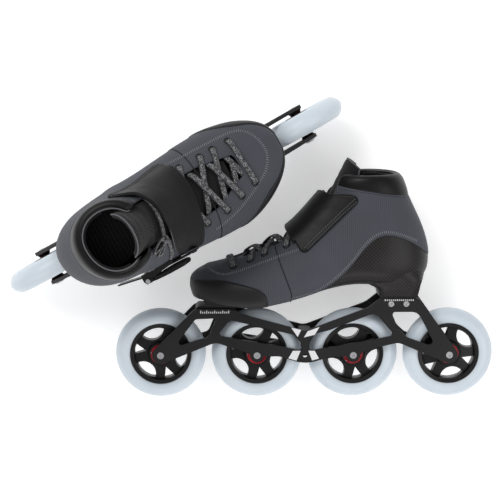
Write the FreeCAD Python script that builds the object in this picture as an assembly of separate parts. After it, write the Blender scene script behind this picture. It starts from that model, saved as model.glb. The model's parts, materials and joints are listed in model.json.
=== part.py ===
# A pair of inline skates: soft boot on a four-wheel aluminium frame.
# One skate lies on its outer side, the other stands on its wheels.
# Both are the same right-hand skate, built once in the skate's own frame
# (x to the toe, y to the inner side of the foot, z up, origin on the ground
# under the middle of the wheelbase) and then placed. Millimetres.
import FreeCAD, Part
import os, math
from FreeCAD import Vector as V

os.makedirs("parts", exist_ok=True)

# ---- driving dimensions ------------------------------------------------
WHEEL_D = 100.0          # wheel diameter
WHEEL_W = 24.0           # wheel width
PITCH = 106.5            # distance from axle to axle
AXLE_Z = WHEEL_D / 2
AXLES = (1.5 * PITCH, 0.5 * PITCH, -0.5 * PITCH, -1.5 * PITCH)
WHEEL_PHASE = (70.0, 79.0, 79.0, 140.0)   # direction of one oval window, from +x towards +z
HUB_R = 34.0             # hub rim, outside
HUB_RIM_IN = 29.0
HUB_BOSS_R = 13.4
BRG_R = 11.0             # 608 bearing outside radius
BRG_BORE = 4.0
BRG_W = 7.0
SPACER = 10.0            # between the two bearings
RAIL_OUT = 20.0          # outside face of a rail from the middle plane
RAIL_T = 4.0
CROSS_R = 2.5            # cross hole in the middle of both rails
CROSS_Z = 49.6
LEAN = 4.62              # deg, the lying skate's roll onto its side
TURN = 29.3              # deg, the standing skate's heading from +X
LYING_XY = (62.2, -111.0)      # axle line's centre before centring
STANDING_XY = (-80.7, 64.0)
STRAP_T = 3.0
LACE_R = 1.25
N = 24                   # points round a boot section

# ---- boot sections: I = instep side, O = sole/heel side (x, z),
#      inner and outer half width, exponents (sole side, instep side), skew
STN = [
    ((124.6, 136.0), (124.6, 126.0), 8.0, 10.0, 2.2, 2.2, 0.0),
    ((121.0, 140.0), (121.0, 115.5), 17.5, 20.5, 2.3, 2.2, 0.0),
    ((114.0, 144.6), (114.0, 110.6), 26.0, 30.5, 2.5, 2.2, 0.08),
    ((104.0, 148.9), (104.0, 108.8), 33.0, 39.5, 2.8, 2.1, 0.15),
    ((90.0, 152.6), (90.0, 106.4), 39.5, 48.5, 3.0, 2.0, 0.22),
    ((73.0, 158.2), (73.0, 104.8), 44.0, 56.0, 3.2, 2.0, 0.28),
    ((56.0, 165.6), (56.0, 104.0), 46.5, 60.0, 3.2, 2.0, 0.30),
    ((40.0, 173.7), (40.0, 106.0), 46.5, 60.5, 3.1, 2.0, 0.30),
    ((22.1, 183.4), (4.0, 115.3), 45.0, 59.0, 3.0, 2.0, 0.26),
    ((10.0, 193.5), (-27.0, 124.0), 43.0, 56.5, 2.8, 2.0, 0.20),
    ((1.0, 202.7), (-62.0, 128.4), 42.0, 54.0, 2.6, 2.0, 0.12),
    ((-6.5, 211.3), (-110.0, 128.0), 41.5, 52.0, 2.4, 2.0, 0.05),
    ((-9.5, 215.0), (-128.6, 136.0), 40.5, 50.0, 2.2, 2.0, 0.02),
    ((-15.6, 221.8), (-136.0, 160.5), 39.0, 48.0, 2.1, 2.0, 0.0),
    ((-22.0, 229.5), (-127.0, 195.5), 37.5, 45.5, 2.1, 2.0, 0.0),
    ((-27.7, 239.3), (-113.0, 225.8), 36.0, 43.0, 2.1, 2.0, 0.0),
    ((-33.5, 250.0), (-104.0, 250.0), 34.5, 41.5, 2.1, 2.0, 0.0),
]
FAN = {7: 270.0, 8: 255.0, 9: 242.0, 10: 230.0, 11: 219.0, 12: 214.0,
       13: 207.0, 14: 198.0, 15: 189.0, 16: 180.0}
ANG = [(FAN[i], float(i)) for i in range(7, 17)]


def mix(a, b, t):
    return a + (b - a) * t


def station(s):
    """Section values at a fractional station, smooth between the rows."""
    i = max(0, min(len(STN) - 2, int(math.floor(s))))
    t = s - i
    a, b = STN[i], STN[i + 1]
    return ((mix(a[0][0], b[0][0], t), mix(a[0][1], b[0][1], t)),
            (mix(a[1][0], b[1][0], t), mix(a[1][1], b[1][1], t)),
            mix(a[2], b[2], t), mix(a[3], b[3], t), mix(a[4], b[4], t),
            mix(a[5], b[5], t), mix(a[6], b[6], t))


def station_at(angle):
    """Station of a fan plane (degrees about the pivot above the instep)."""
    for (a0, s0), (a1, s1) in zip(ANG, ANG[1:]):
        if a1 <= angle <= a0:
            return s0 + (a0 - angle) / (a0 - a1) * (s1 - s0)
    return 16.0 + (180.0 - angle) / 9.0 if angle < 180 else 7.0


def boot_pt(s, th, d=0.0):
    """Point of the boot skin: section s, angle th (deg, 0 = instep, + = inner
    side), d mm inwards."""
    (ix, iz), (ox, oz), wm, wl, nb, nt, k = station(s)
    cx, cz = (ix + ox) / 2, (iz + oz) / 2
    hx, hz = (ix - ox) / 2, (iz - oz) / 2
    L = math.hypot(hx, hz)
    c, sn = math.cos(math.radians(th)), math.sin(math.radians(th))
    n = nt if c > 0 else nb
    u = math.copysign(abs(c) ** (2.0 / n), c) if abs(c) > 1e-9 else 0.0
    v = math.copysign(abs(sn) ** (2.0 / n), sn) if abs(sn) > 1e-9 else 0.0
    u = u - k * (1 - u * u)
    f = max(0.2, (L - d) / L)
    w = (wm if v > 0 else wl) - d
    return V(cx + hx * u * f, v * max(w, 2.0), cz + hz * u * f)


def boot_loft(d, first=0, x_shift=0.0, extend=0.0):
    """Solid through the boot sections, d mm inside the skin."""
    grid = []
    for i in range(first, len(STN)):
        row = [boot_pt(float(i), 360.0 * (j % N) / N, d) for j in range(N + 1)]
        if i == first and x_shift:
            row = [p - V(x_shift, 0, 0) for p in row]
        grid.append(row)
    if extend:
        grid.append([p + V(0, 0, extend * 0.5) for p in grid[-1]])
        grid.append([p + V(0, 0, extend * 0.5) for p in grid[-1]])
    sf = Part.BSplineSurface()
    sf.interpolate(grid)
    u0, u1, v0, v1 = sf.bounds()
    caps = [Part.Face(Part.Wire([sf.uIso(u).toShape()])) for u in (u0, u1)]
    sh = Part.Shell([sf.toShape()] + caps)
    sh.sewShape()
    if sh.ShapeType != "Shell":
        sh = sh.Shells[0]
    so = Part.Solid(sh)
    if so.Volume < 0:
        so.reverse()
    return so


def prism_y(pts, y0, y1):
    """Solid from an x,z polygon, along y."""
    w = Part.makePolygon([V(x, y0, z) for x, z in pts] + [V(pts[0][0], y0, pts[0][1])])
    return Part.Face(w).extrude(V(0, y1 - y0, 0))


def rounded(pts, y):
    """Closed x,z wire of straight runs and tangent arcs; pts = (x, z, radius)."""
    n = len(pts)
    ends = []
    for i in range(n):
        x, z, r = pts[i]
        p = V(x, 0, z)
        a = V(pts[i - 1][0], 0, pts[i - 1][1]) - p
        b = V(pts[(i + 1) % n][0], 0, pts[(i + 1) % n][1]) - p
        la, lb = a.Length, b.Length
        a.normalize(); b.normalize()
        if r <= 0:
            ends.append((p, None, p))
            continue
        half = a.getAngle(b) / 2
        t = min(r / math.tan(half), 0.48 * la, 0.48 * lb)
        r = t * math.tan(half)
        bis = (a + b); bis.normalize()
        c = p + bis * (r / math.sin(half))
        m = c - bis * r
        ends.append((p + a * t, m, p + b * t))
    es = []
    for i in range(n):
        s, m, e = ends[i]
        if m is not None:
            es.append(Part.Arc(s + V(0, y, 0), m + V(0, y, 0), e + V(0, y, 0)).toShape())
        nx = ends[(i + 1) % n][0]
        if (nx - e).Length > 1e-4:
            es.append(Part.LineSegment(e + V(0, y, 0), nx + V(0, y, 0)).toShape())
    return Part.Wire(es)


def plate(pts, y0, y1):
    return Part.Face(rounded(pts, y0)).extrude(V(0, y1 - y0, 0))


def cyl(x, z, r, y0, y1):
    return Part.makeCylinder(r, y1 - y0, V(x, y0, z), V(0, 1, 0))


def revolve_y(prof, x, z):
    """Turned solid about the y line through (x, z); prof = (radius, y)."""
    w = Part.makePolygon([V(x + r, y, z) for r, y in prof] + [V(x + prof[0][0], prof[0][1], z)])
    return Part.Face(w).revolve(V(x, 0, z), V(0, 1, 0), 360)


# ---- wheel ---------------------------------------------------------------
def tyre(x):
    z, R, h = AXLE_Z, WHEEL_D / 2, WHEEL_W / 2
    p = [V(x + 34.05, -10.4, z), V(x + 38.2, -h, z), V(x + 43.2, -10.9, z), V(x + R, 0, z),
         V(x + 43.2, 10.9, z), V(x + 38.2, h, z), V(x + 34.05, 10.4, z)]
    es = [Part.LineSegment(p[0], V(x + 36.4, -11.6, z)).toShape(),
          Part.Arc(V(x + 36.4, -11.6, z), p[1] + V(1.2, 0, 0), p[2]).toShape(),
          Part.Arc(p[2], p[3], p[4]).toShape(),
          Part.Arc(p[4], p[5] + V(1.2, 0, 0), V(x + 36.4, 11.6, z)).toShape(),
          Part.LineSegment(V(x + 36.4, 11.6, z), p[6]).toShape(),
          Part.LineSegment(p[6], p[0]).toShape()]
    return Part.Face(Part.Wire(es)).revolve(V(x, 0, z), V(0, 1, 0), 360)


def hub(x, phase):
    z = AXLE_Z
    s = revolve_y([(8.6, -5.0), (8.6, 5.0), (BRG_R, 5.0), (BRG_R, 11.9), (HUB_BOSS_R - 0.5, 11.9),
                   (HUB_BOSS_R + 0.4, 10.6), (14.6, 6.2), (HUB_RIM_IN - 0.6, 5.2),
                   (HUB_RIM_IN + 0.6, 9.6), (33.2, 10.2), (HUB_R, 9.8),
                   (HUB_R, -9.8), (33.2, -10.2), (HUB_RIM_IN + 0.6, -9.6), (HUB_RIM_IN - 0.6, -5.2),
                   (14.6, -6.2), (HUB_BOSS_R + 0.4, -10.6), (HUB_BOSS_R - 0.5, -11.9),
                   (BRG_R, -11.9), (BRG_R, -5.0)], x, z)

    def pol(r, a):
        a = math.radians(a)
        return V(x + r * math.cos(a), -15, z + r * math.sin(a))
    for k in range(3):
        a = phase + 120 * k
        # oval window: an arc along the rim and a deep arc towards the boss
        e1 = Part.Arc(pol(27.6, a - 27), pol(29.0, a), pol(27.6, a + 27)).toShape()
        e2 = Part.Arc(pol(27.6, a + 27), pol(16.4, a), pol(27.6, a - 27)).toShape()
        s = s.cut(Part.Face(Part.Wire([e1, e2])).extrude(V(0, 30, 0)))
        b = a + 60
        q = [pol(28.4, b - 11.5), pol(28.9, b), pol(28.4, b + 11.5), pol(16.4, b)]
        f1 = Part.Arc(q[0], q[1], q[2]).toShape()
        f2 = Part.LineSegment(q[2], q[3]).toShape()
        f3 = Part.LineSegment(q[3], q[0]).toShape()
        s = s.cut(Part.Face(Part.Wire([f1, f2, f3])).extrude(V(0, 30, 0)))
    return s


def bearings(x):
    """Two sealed bearings: outer ring with its shields, and the balls inside."""
    z, out = AXLE_Z, []
    for sg in (-1, 1):
        y0, y1 = SPACER / 2 + 0.02, SPACER / 2 + BRG_W - 0.1
        prof = [(BRG_R - 0.03, y0), (BRG_R - 0.03, y1), (10.4, y1), (10.3, y1 - 0.35), (6.35, y1 - 0.35),
                (6.35, y1 - 0.75), (9.5, y1 - 0.75), (9.5, y0 + 0.75), (6.35, y0 + 0.75),
                (6.35, y0 + 0.35), (10.3, y0 + 0.35), (10.4, y0)]
        out.append(revolve_y([(r, sg * y) for r, y in prof], x, z))
        for k in range(7):
            a = 2 * math.pi * k / 7
            out.append(Part.makeSphere(1.65, V(x + 7.75 * math.cos(a), sg * (y0 + y1) / 2,
                                               z + 7.75 * math.sin(a))))
    return out


def inner_rings(x):
    z, out = AXLE_Z, []
    for sg in (-1, 1):
        a, b = sorted((sg * SPACER / 2, sg * (SPACER / 2 + BRG_W)))
        out.append(cyl(x, z, 5.9, a, b).cut(cyl(x, z, BRG_BORE, a - 1, b + 1)))
    out.append(cyl(x, z, 5.4, -SPACER / 2, SPACER / 2).cut(cyl(x, z, BRG_BORE, -9, 9)))
    return out


# ---- frame -----------------------------------------------------------------
def rail(side):
    """One rail plate with its windows, axle bosses and holes; side +1 inner, -1 outer."""
    yo, yi = RAIL_OUT, RAIL_OUT - RAIL_T
    xa, za = AXLES[0], AXLE_Z
    out = [(xa + 6.69, za + 6.32, 0), (122.0, 102.1, 8), (83.0, 102.1, 10), (62.0, 93.8, 60),
           (0.0, 77.3, 16), (-69.5, 103.6, 25), (-82.5, 114.0, 1.5), (-125.5, 114.0, 6),
           (-xa - 7.56, za + 5.24, 0), (-xa + 3.5, za - 8.5, 0), (-103.0, 64.2, 14),
           (-66.0, 55.4, 8), (-60.0, 50.0, 0), (-46.5, 48.6, 0), (-29.5, 48.8, 18),
           (0.0, 39.9, 40), (28.5, 49.0, 18), (46.5, 48.8, 0), (60.0, 51.0, 0),
           (67.6, 54.4, 4), (99.0, 64.8, 14), (xa - 3.5, za - 8.5, 0)]
    wins = [
        [(121.0, 90.9, 5), (98.3, 91.8, 2.5), (107.0, 70.5, 7), (145.0, 59.4, 3.2)],
        [(97.0, 72.2, 3.5), (83.5, 90.0, 8), (13.0, 73.2, 8), (3.6, 63.0, 8), (4.4, 55.0, 3.5), (24.0, 59.6, 25)],
        [(-4.2, 54.9, 3.5), (-4.8, 64.5, 9), (-10.8, 74.6, 6), (-26.0, 78.1, 30), (-77.0, 97.8, 11), (-99.0, 71.8, 3.5)],
        [(-94.6, 98.6, 3), (-124.0, 98.6, 12), (-145.4, 58.0, 4), (-113.0, 69.6, 12), (-103.0, 79.0, 25)],
    ]
    a, b = (yi, yo) if side > 0 else (-yo, -yi)
    s = plate(out, a, b)
    for w in wins:
        s = s.cut(plate(w, a - 1, b + 1))
    for i, x in enumerate(AXLES):
        r = 9.2 if i in (0, 3) else 7.6
        s = s.fuse(cyl(x, za, r, a, b))
        cone = Part.makeCone(8.0 if i in (0, 3) else 7.6, 5.8, RAIL_T + 0.01,
                             V(x, side * (yi + 0.01), za), V(0, -side, 0))
        s = s.fuse(cone)
    for x in AXLES:
        s = s.cut(cyl(x, za, BRG_BORE, min(a, -b) - 30, max(b, -a) + 30))
    s = s.cut(cyl(0, CROSS_Z, CROSS_R, a - 1, b + 1))
    for x in (-94.3, -110.9):
        s = s.cut(cyl(x, 107.8, 2.1, a - 1, b + 1))
    s = s.removeSplitter()
    return s


def mount_blocks():
    y = RAIL_OUT - RAIL_T
    front = plate([(78.0, 97.0, 1.5), (78.0, 105.0, 1.0), (118.0, 105.0, 4.0), (122.5, 100.5, 3.0), (118.0, 97.0, 2.0)], -y, y)
    rear = plate([(-84.5, 100.0, 1.5), (-84.5, 115.0, 1.0), (-122.5, 115.0, 2.0), (-122.5, 100.0, 1.5)], -y, y)
    mid = plate([(-7.0, 74.4, 1.0), (-7.0, 77.2, 1.0), (7.0, 77.2, 1.0), (7.0, 74.4, 1.0)], -y, y)
    for x in (-94.3, -110.9):
        rear = rear.cut(cyl(x, 107.8, 2.05, -y - 1, -6)).cut(cyl(x, 107.8, 2.05, 6, y + 1))
    front = front.cut(Part.makeCylinder(3.05, 30, V(101, 0, 90)))
    rear = rear.cut(Part.makeCylinder(3.05, 30, V(-102.6, 0, 92)))
    return [front, rear, mid]


def screw_y(x, z, side, r, head, head_h, length):
    """Socket screw across the frame, head outside."""
    y = side * RAIL_OUT
    h = Part.makeCylinder(head, head_h, V(x, y, z), V(0, side, 0))
    s = Part.makeCylinder(r, length, V(x, y, z), V(0, -side, 0)).fuse(h)
    hexw = Part.makePolygon([V(x + 1.5 * math.cos(math.radians(60 * k)), y + side * head_h, z + 1.5 * math.sin(math.radians(60 * k))) for k in range(7)])
    return s.cut(Part.Face(hexw).extrude(V(0, -side * 1.1, 0)))


def frame_screws():
    out = []
    for x in (-94.3, -110.9):
        for sd in (-1, 1):
            out.append(screw_y(x, 107.8, sd, 2.0, 3.2, 1.5, 13.0))
    for x, zb, zt in ((101.0, 92.8, 112.5), (-102.6, 95.8, 124.0)):
        b = Part.makeCylinder(3.0, zt - zb, V(x, 0, zb)).fuse(
            Part.makeCylinder(5.0, 4.15, V(x, 0, zb)))
        out.append(b)
    return out


def axle(x):
    z = AXLE_Z
    s = revolve_y([(0, -RAIL_OUT - 2.2), (4.6, -RAIL_OUT - 2.2), (6.0, -RAIL_OUT - 1.2), (6.0, -RAIL_OUT),
                   (3.98, -RAIL_OUT), (3.98, RAIL_OUT + 0.1), (3.5, RAIL_OUT + 0.6), (0, RAIL_OUT + 0.6)], x, z)
    for y0, y1, r in ((RAIL_OUT - 1.2, RAIL_OUT + 2, 1.9), (-RAIL_OUT - 4, -RAIL_OUT - 0.4, 2.3)):
        w = Part.makePolygon([V(x + r * math.cos(math.radians(60 * k)), y0, z + r * math.sin(math.radians(60 * k))) for k in range(7)])
        s = s.cut(Part.Face(w).extrude(V(0, y1 - y0, 0)))
    return s


# ---- boot --------------------------------------------------------------------
SHELL_EDGE = [(-150, 158), (-136, 161), (-120, 174), (-106, 181.6), (-93, 185.6), (-84, 186.0), (-75.6, 183),
              (-63.4, 172.6), (-49.4, 154.7), (-32, 136.7), (-13, 123.5), (0, 118.5), (21, 113.6), (40, 109.8),
              (56, 107.6), (85, 109.6), (104, 112.4), (113, 114.0), (114, 95), (-150, 95)]
TOE_CAP = [(150, 133.2), (126, 133.4), (110, 135.2), (94.3, 136.2), (80, 134.6), (66.6, 132), (56, 129.4), (49, 126.4),
           (44.4, 121), (42.5, 112.5), (42.5, 100), (150, 100)]
COLLAR = [(39.5, 249.9), (-150, 221.6), (-150, 330), (39.5, 330)]


def throat(grow, back=-48.0):
    """Opening over the instep: a tall wedge seen from above."""
    g = grow
    top = [V(75.5 + g, -14 - g, 120), V(75.5 + g, 11 + g, 120), V(36, 17.5 + g, 120), V(10, 18 + g, 120),
           V(back, 19 + g, 120), V(back, -33 - g, 120), V(10, -33 - g, 120), V(36, -31 - g, 120)]
    return Part.Face(Part.makePolygon(top + [top[0]])).extrude(V(0, 0, 200))


def tongue():
    """Padded tongue: a band under the laces that rises above the collar."""
    ws = []
    rows = [(5.3, 9.5, -12.5, 3.9), (6.0, 12.5, -19, 3.6), (7.0, 15.5, -28.5, 3.3), (8.0, 16.5, -30.5, 3.2), (9.0, 16.5, -30, 3.2),
            (10.0, 16.5, -28.6, 3.2), (11.0, 16.5, -28, 3.2), (13.0, 16.5, -28.5, 3.2), (14.5, 16.5, -28.5, 3.0), (16.0, 16.5, -28.5, 2.6)]
    for s, ym, yl, d in rows:
        (ix, iz), (ox, oz), wm, wl, nb, nt, k = station(s)
        pts = []
        m = 6
        dirv = V(ix - ox, 0, iz - oz); dirv.normalize()
        for depth in (d, d + 6.5):
            line = []
            for j in range(m + 1):
                y = mix(yl, ym, j / m)
                w = wm if y > 0 else wl
                v = min(0.95, abs(y) / w)
                u = math.sqrt(1 - v * v)
                u = u - k * (1 - u * u)
                L = math.hypot(ix - ox, iz - oz) / 2
                c = V((ix + ox) / 2, 0, (iz + oz) / 2)
                line.append(c + dirv * (L * u - depth) + V(0, y, 0))
            pts.append(line)
        ws.append(Part.makePolygon(pts[0] + pts[1][::-1] + [pts[0][0]]))
    for lift, back, ym, yl in ((8.0, 3.4, 16.5, -28.5), (13.0, 5.6, 14, -26)):
        base = ws[9].Vertexes
        pts = [v.Point + V(-back, 0, lift) for v in base]
        c = -6.0
        f = (ym - yl) / 45.0
        pts = [V(p.x, c + (p.y - c) * f, p.z) for p in pts]
        ws.append(Part.makePolygon(pts + [pts[0]]))
    return Part.makeLoft(ws, True, True)


def cavity():
    """The space for the foot, 10 mm inside the skin, open at the top."""
    return boot_loft(10.0, 1, 5.0, 60.0)


ROWS_IN = [(77.0, 27.0), (60.5, 27.8), (44.0, 28.6), (20.0, 29.0), (-2.0, 30.5)]
ROWS_OUT = [(82.0, -27.5), (63.0, -34.0), (43.5, -39.0), (19.0, -39.5), (-4.0, -39.5)]
TOP_IN, TOP_OUT = (-31.0, 28.5), (-29.0, -33.0)


def skin_at(x, y):
    """Point of the instep skin above (x, y), and its outward normal."""
    def solve(x, y):
        lo, hi = 1.0, 16.9
        best = None
        for _ in range(60):
            s = (lo + hi) / 2
            _, _, wm, wl, nb, nt, k = station(s)
            w = wm if y > 0 else wl
            v = min(0.999, abs(y) / w)
            th = math.degrees(math.asin(v))
            p = boot_pt(s, th if y > 0 else -th)
            best = p
            if p.x > x:
                lo = s
            else:
                hi = s
        return best
    p = solve(x, y)
    a = solve(x + 1.5, y) - solve(x - 1.5, y)
    b = solve(x, y + 1.5) - solve(x, y - 1.5)
    n = a.cross(b)
    n.normalize()
    if n.z < 0:
        n = n * -1
    return p, n


def tube(pts, r):
    """Round cord along straight runs joined by tangent arcs."""
    es, n = [], len(pts)
    cur = pts[0]
    for i in range(1, n - 1):
        p = pts[i]
        a, b = (pts[i - 1] - p), (pts[i + 1] - p)
        la, lb = a.Length, b.Length
        a.normalize(); b.normalize()
        ang = a.getAngle(b)
        if math.pi - ang < 0.02:
            continue
        t = 0.45 * min(la, lb)
        rad = t * math.tan(ang / 2)
        bis = a + b; bis.normalize()
        c = p + bis * (rad / math.sin(ang / 2))
        s0, m, s1 = p + a * t, c - bis * rad, p + b * t
        es.append(Part.LineSegment(cur, s0).toShape())
        es.append(Part.Arc(s0, m, s1).toShape())
        cur = s1
    es.append(Part.LineSegment(cur, pts[-1]).toShape())
    path = Part.Wire(es)
    d = pts[1] - pts[0]; d.normalize()
    prof = Part.Wire([Part.makeCircle(r, pts[0], d)])
    sw = path.makePipeShell([prof], True, False)
    return sw


def laces():
    out = []
    eye_in = [skin_at(*p) for p in ROWS_IN]
    eye_out = [skin_at(*p) for p in ROWS_OUT]
    t_in, t_out = skin_at(*TOP_IN), skin_at(*TOP_OUT)

    def run(a, b, h_mid, h_end=1.9, drop=1.6):
        (pa, na), (pb, nb_) = a, b
        mid_xy = (pa + pb) * 0.5
        pm, nm = skin_at(mid_xy.x, mid_xy.y)
        q1 = pa + (pb - pa) * 0.27
        q3 = pa + (pb - pa) * 0.73
        p1, n1 = skin_at(q1.x, q1.y)
        p3, n3 = skin_at(q3.x, q3.y)
        h1 = mix(h_end, h_mid, 0.8)
        return tube([pa + na * (-drop), pa + na * 1.6 + (pb - pa) * 0.05, p1 + n1 * h1, pm + nm * h_mid, p3 + n3 * h1,
                     pb + nb_ * 1.6 + (pa - pb) * 0.05, pb + nb_ * (-drop)], LACE_R)
    for i in range(3):
        out.append(run(eye_in[i], eye_out[i + 1], 1.7))
        out.append(run(eye_out[i], eye_in[i + 1], 4.6))
    out.append(run(eye_in[3], eye_out[4], 1.7))
    out.append(run(t_in, t_out, 1.9))
    return out, eye_in[:4] + eye_out[:4] + [t_in, t_out]


def ring_at(p, n, r_out, r_in, h0, h1):
    c = Part.makeCylinder(r_out, h1 - h0, p + n * h0, n)
    c = c.cut(Part.makeCylinder(r_in, h1 - h0 + 2, p + n * (h0 - 1), n))
    return c


STRAP_ROWS = [  # angle round the boot, fan angle of upper and lower edge, gap above the skin
    (70.0, 194.5, 243.0, 0.7), (60.0, 195.0, 245.0, 1.2), (48.0, 195.5, 247.5, 2.4), (35.0, 196.5, 250.0, 4.4), (18.0, 198.0, 251.0, 4.7),
    (0.0, 200.0, 251.0, 4.7), (-18.0, 205.0, 250.0, 4.6), (-35.0, 213.0, 249.0, 4.2), (-50.0, 221.5, 248.0, 3.1),
    (-66.0, 229.0, 247.0, 2.3),
]


def skin_normal(s, th):
    e = 0.15
    a = boot_pt(s + e, th) - boot_pt(s - e, th)
    b = boot_pt(s, th + 2) - boot_pt(s, th - 2)
    n = a.cross(b)
    n.normalize()
    c = boot_pt(s, 0) * 0.5 + boot_pt(s, 180) * 0.5
    if n.dot(boot_pt(s, th) - c) < 0:
        n = n * -1
    return n


def slab(ins, outs):
    """Solid between two point grids of the same size."""
    fi, fo = Part.BSplineSurface(), Part.BSplineSurface()
    fi.interpolate(ins)
    fo.interpolate(outs)
    faces = [fi.toShape(), fo.toShape()]
    u0, u1, v0, v1 = fi.bounds()
    p0, p1, q0, q1 = fo.bounds()
    for a, b in ((fi.uIso(u0), fo.uIso(p0)), (fi.uIso(u1), fo.uIso(p1)),
                 (fi.vIso(v0), fo.vIso(q0)), (fi.vIso(v1), fo.vIso(q1))):
        faces.append(Part.makeRuledSurface(a.toShape(), b.toShape(), 1))
    sh = Part.Shell(faces)
    sh.sewShape()
    if sh.ShapeType != "Shell":
        sh = sh.Shells[0]
    so = Part.Solid(sh)
    if so.Volume < 0:
        so.reverse()
    return so


def strap():
    gi, go = [], []
    for th, up, lo, gap in STRAP_ROWS:
        ins, outs = [], []
        for j in range(7):
            s = station_at(mix(up, lo, j / 6.0))
            p, n = boot_pt(s, th), skin_normal(s, th)
            ins.append(p + n * gap)
            outs.append(p + n * (gap + STRAP_T))
        gi.append(ins)
        go.append(outs)
    return slab(gi, go)


# buckle frame: t along the ladder (to the front and up), w across it, n outwards
BC = V(-43.0, -56.2, 157.0)
BT_ANG = 24.0
BT = V(math.cos(math.radians(BT_ANG)), 0, math.sin(math.radians(BT_ANG)))
BW = V(-math.sin(math.radians(BT_ANG)), 0, math.cos(math.radians(BT_ANG)))
BN = V(0, -1, 0)
LADDER_W = 11.0
PIVOT = (-19.5, -15.0, 6.0)  # start of the lever pin hole


def bpt(t, w, n):
    return BC + BT * t + BW * w + BN * n


def bprism(tn, w0, w1):
    pts = [bpt(t, w0, n) for t, n in tn]
    return Part.Face(Part.makePolygon(pts + [pts[0]])).extrude(BW * (w1 - w0))


def ladder():
    top, low = [], []
    low = [(43.0, -0.4), (24.0, 0.2), (-26.0, 0.2), (-58.0, -5.0)]
    t = 34.0
    top.append((43.0, 1.4))
    while t > -24.0:
        top += [(t, 1.7), (t, 2.3), (t - 2.4, 1.7)]
        t -= 3.0
    top += [(-26.0, 1.7), (-56.0, -3.1), (-58.0, -3.6)]
    s = bprism(low + top[::-1], -LADDER_W / 2, LADDER_W / 2)
    riv = Part.makeCylinder(3.0, 1.2, bpt(39.0, 0, 1.4), BN)
    return s.fuse(riv).removeSplitter()


def buckle_base():
    floor = bprism([(-25, -2.4), (-25, -0.7), (17, -0.7), (17, -2.4)], -11.7, 11.7)
    for w0, w1 in ((-11.7, -9.9), (9.9, 11.7)):
        wall = bprism([(-25, -2.4), (-25, 5.2), (-22.5, 9.0), (-16.5, 9.0), (-12.5, 4.6), (17, 1.0), (17, -2.4)], w0, w1)
        floor = floor.fuse(wall)
    pin = Part.makeCylinder(1.62, 30, bpt(*PIVOT), BW)
    return floor.cut(pin).removeSplitter()


def buckle_lever():
    lid = bprism([(-14.5, 8.5), (-10, 9.4), (6, 9.8), (24, 9.4), (25, 7.4), (22, 7.6), (8, 7.9), (-10, 7.4), (-14.5, 6.9)], -8.6, 8.6)
    for w0, w1 in ((-9.4, -7.6), (7.6, 9.4)):
        ear = bprism([(-19.0, 3.3), (-21.6, 4.2), (-22.4, 6.2), (-20.8, 8.2), (-10, 9.4), (6, 9.8), (22, 9.4), (20, 7.6), (8, 6.9), (-8, 5.6), (-15.5, 3.8)], w0, w1)
        lid = lid.fuse(ear)
    pin = Part.makeCylinder(1.62, 30, bpt(*PIVOT), BW)
    return lid.cut(pin).removeSplitter()


def buckle_pins():
    t, w, n = PIVOT
    a = Part.makeCylinder(1.58, 24.6, bpt(t, -12.3, n), BW)
    h0 = Part.makeCylinder(2.6, 1.0, bpt(t, -13.3, n), BW)
    h1 = Part.makeCylinder(2.6, 1.0, bpt(t, 12.3, n), BW)
    a = a.fuse(h0).fuse(h1).removeSplitter()
    out = [a]
    for t in (-23.0, 14.5):
        out.append(Part.makeCylinder(2.4, 3.2, bpt(t, 0, -3.9), BN))
    return out


def make_boot():
    outer = boot_loft(0.0)
    mid = boot_loft(3.0, 0, 3.0, 20.0)
    inner = cavity()
    layer = outer.cut(mid)
    collar = prism_y(COLLAR, -90, 90)
    shell_p = prism_y(SHELL_EDGE, -90, 90)
    toe_p = prism_y(TOE_CAP, -90, 90)
    thr = throat(0.0)
    below = layer.cut(collar)
    shell = below.common(shell_p)
    rest = below.cut(shell_p)
    toe = rest.common(toe_p)
    upper = rest.cut(toe_p).cut(thr)
    # heel block under the shell and the flat pad over the front mount
    heel = plate([(-80.5, 133.0, 0), (-82.2, 122.0, 4), (-83.2, 115.05, 0.8), (-122.6, 115.05, 1.0), (-125.0, 124.0, 8), (-127.0, 134.0, 0)], -23, 23)
    pad = plate([(80.0, 112.0, 0), (80.0, 105.05, 0.8), (110.0, 105.05, 0.8), (112.0, 112.0, 0)], -22, 22)
    core = boot_loft(3.0, 0, 3.0, 20.0)
    shell = shell.fuse(heel.cut(core)).fuse(pad.cut(core)).removeSplitter()
    for x, zt in ((101.0, 112.5), (-102.6, 124.2)):
        shell = shell.cut(Part.makeCylinder(3.05, zt - 90, V(x, 0, 90)))
    block = mid.common(prism_y([(-160, 90), (150, 90), (150, 250), (-160, 250)], -90, 90))
    block = block.cut(inner).cut(throat(0.5, -68.0))
    gi, go = [], []
    for angle in (188.3, 186.0, 183.5, 181.2):
        s = station_at(angle)
        turn = [66.0 + 228.0 * j / N for j in range(N + 1)]
        gi.append([boot_pt(s, th, 2.9) for th in turn])
        go.append([boot_pt(s, th) for th in turn])
    liner = Part.Compound([block.Solids[0], slab(gi, go)])
    return shell, toe, upper, liner


def solids_of(s):
    out = s.Solids
    out = sorted(out, key=lambda q: -q.Volume)
    keep = [q for q in out if q.Volume > 1.0]
    return keep


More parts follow.
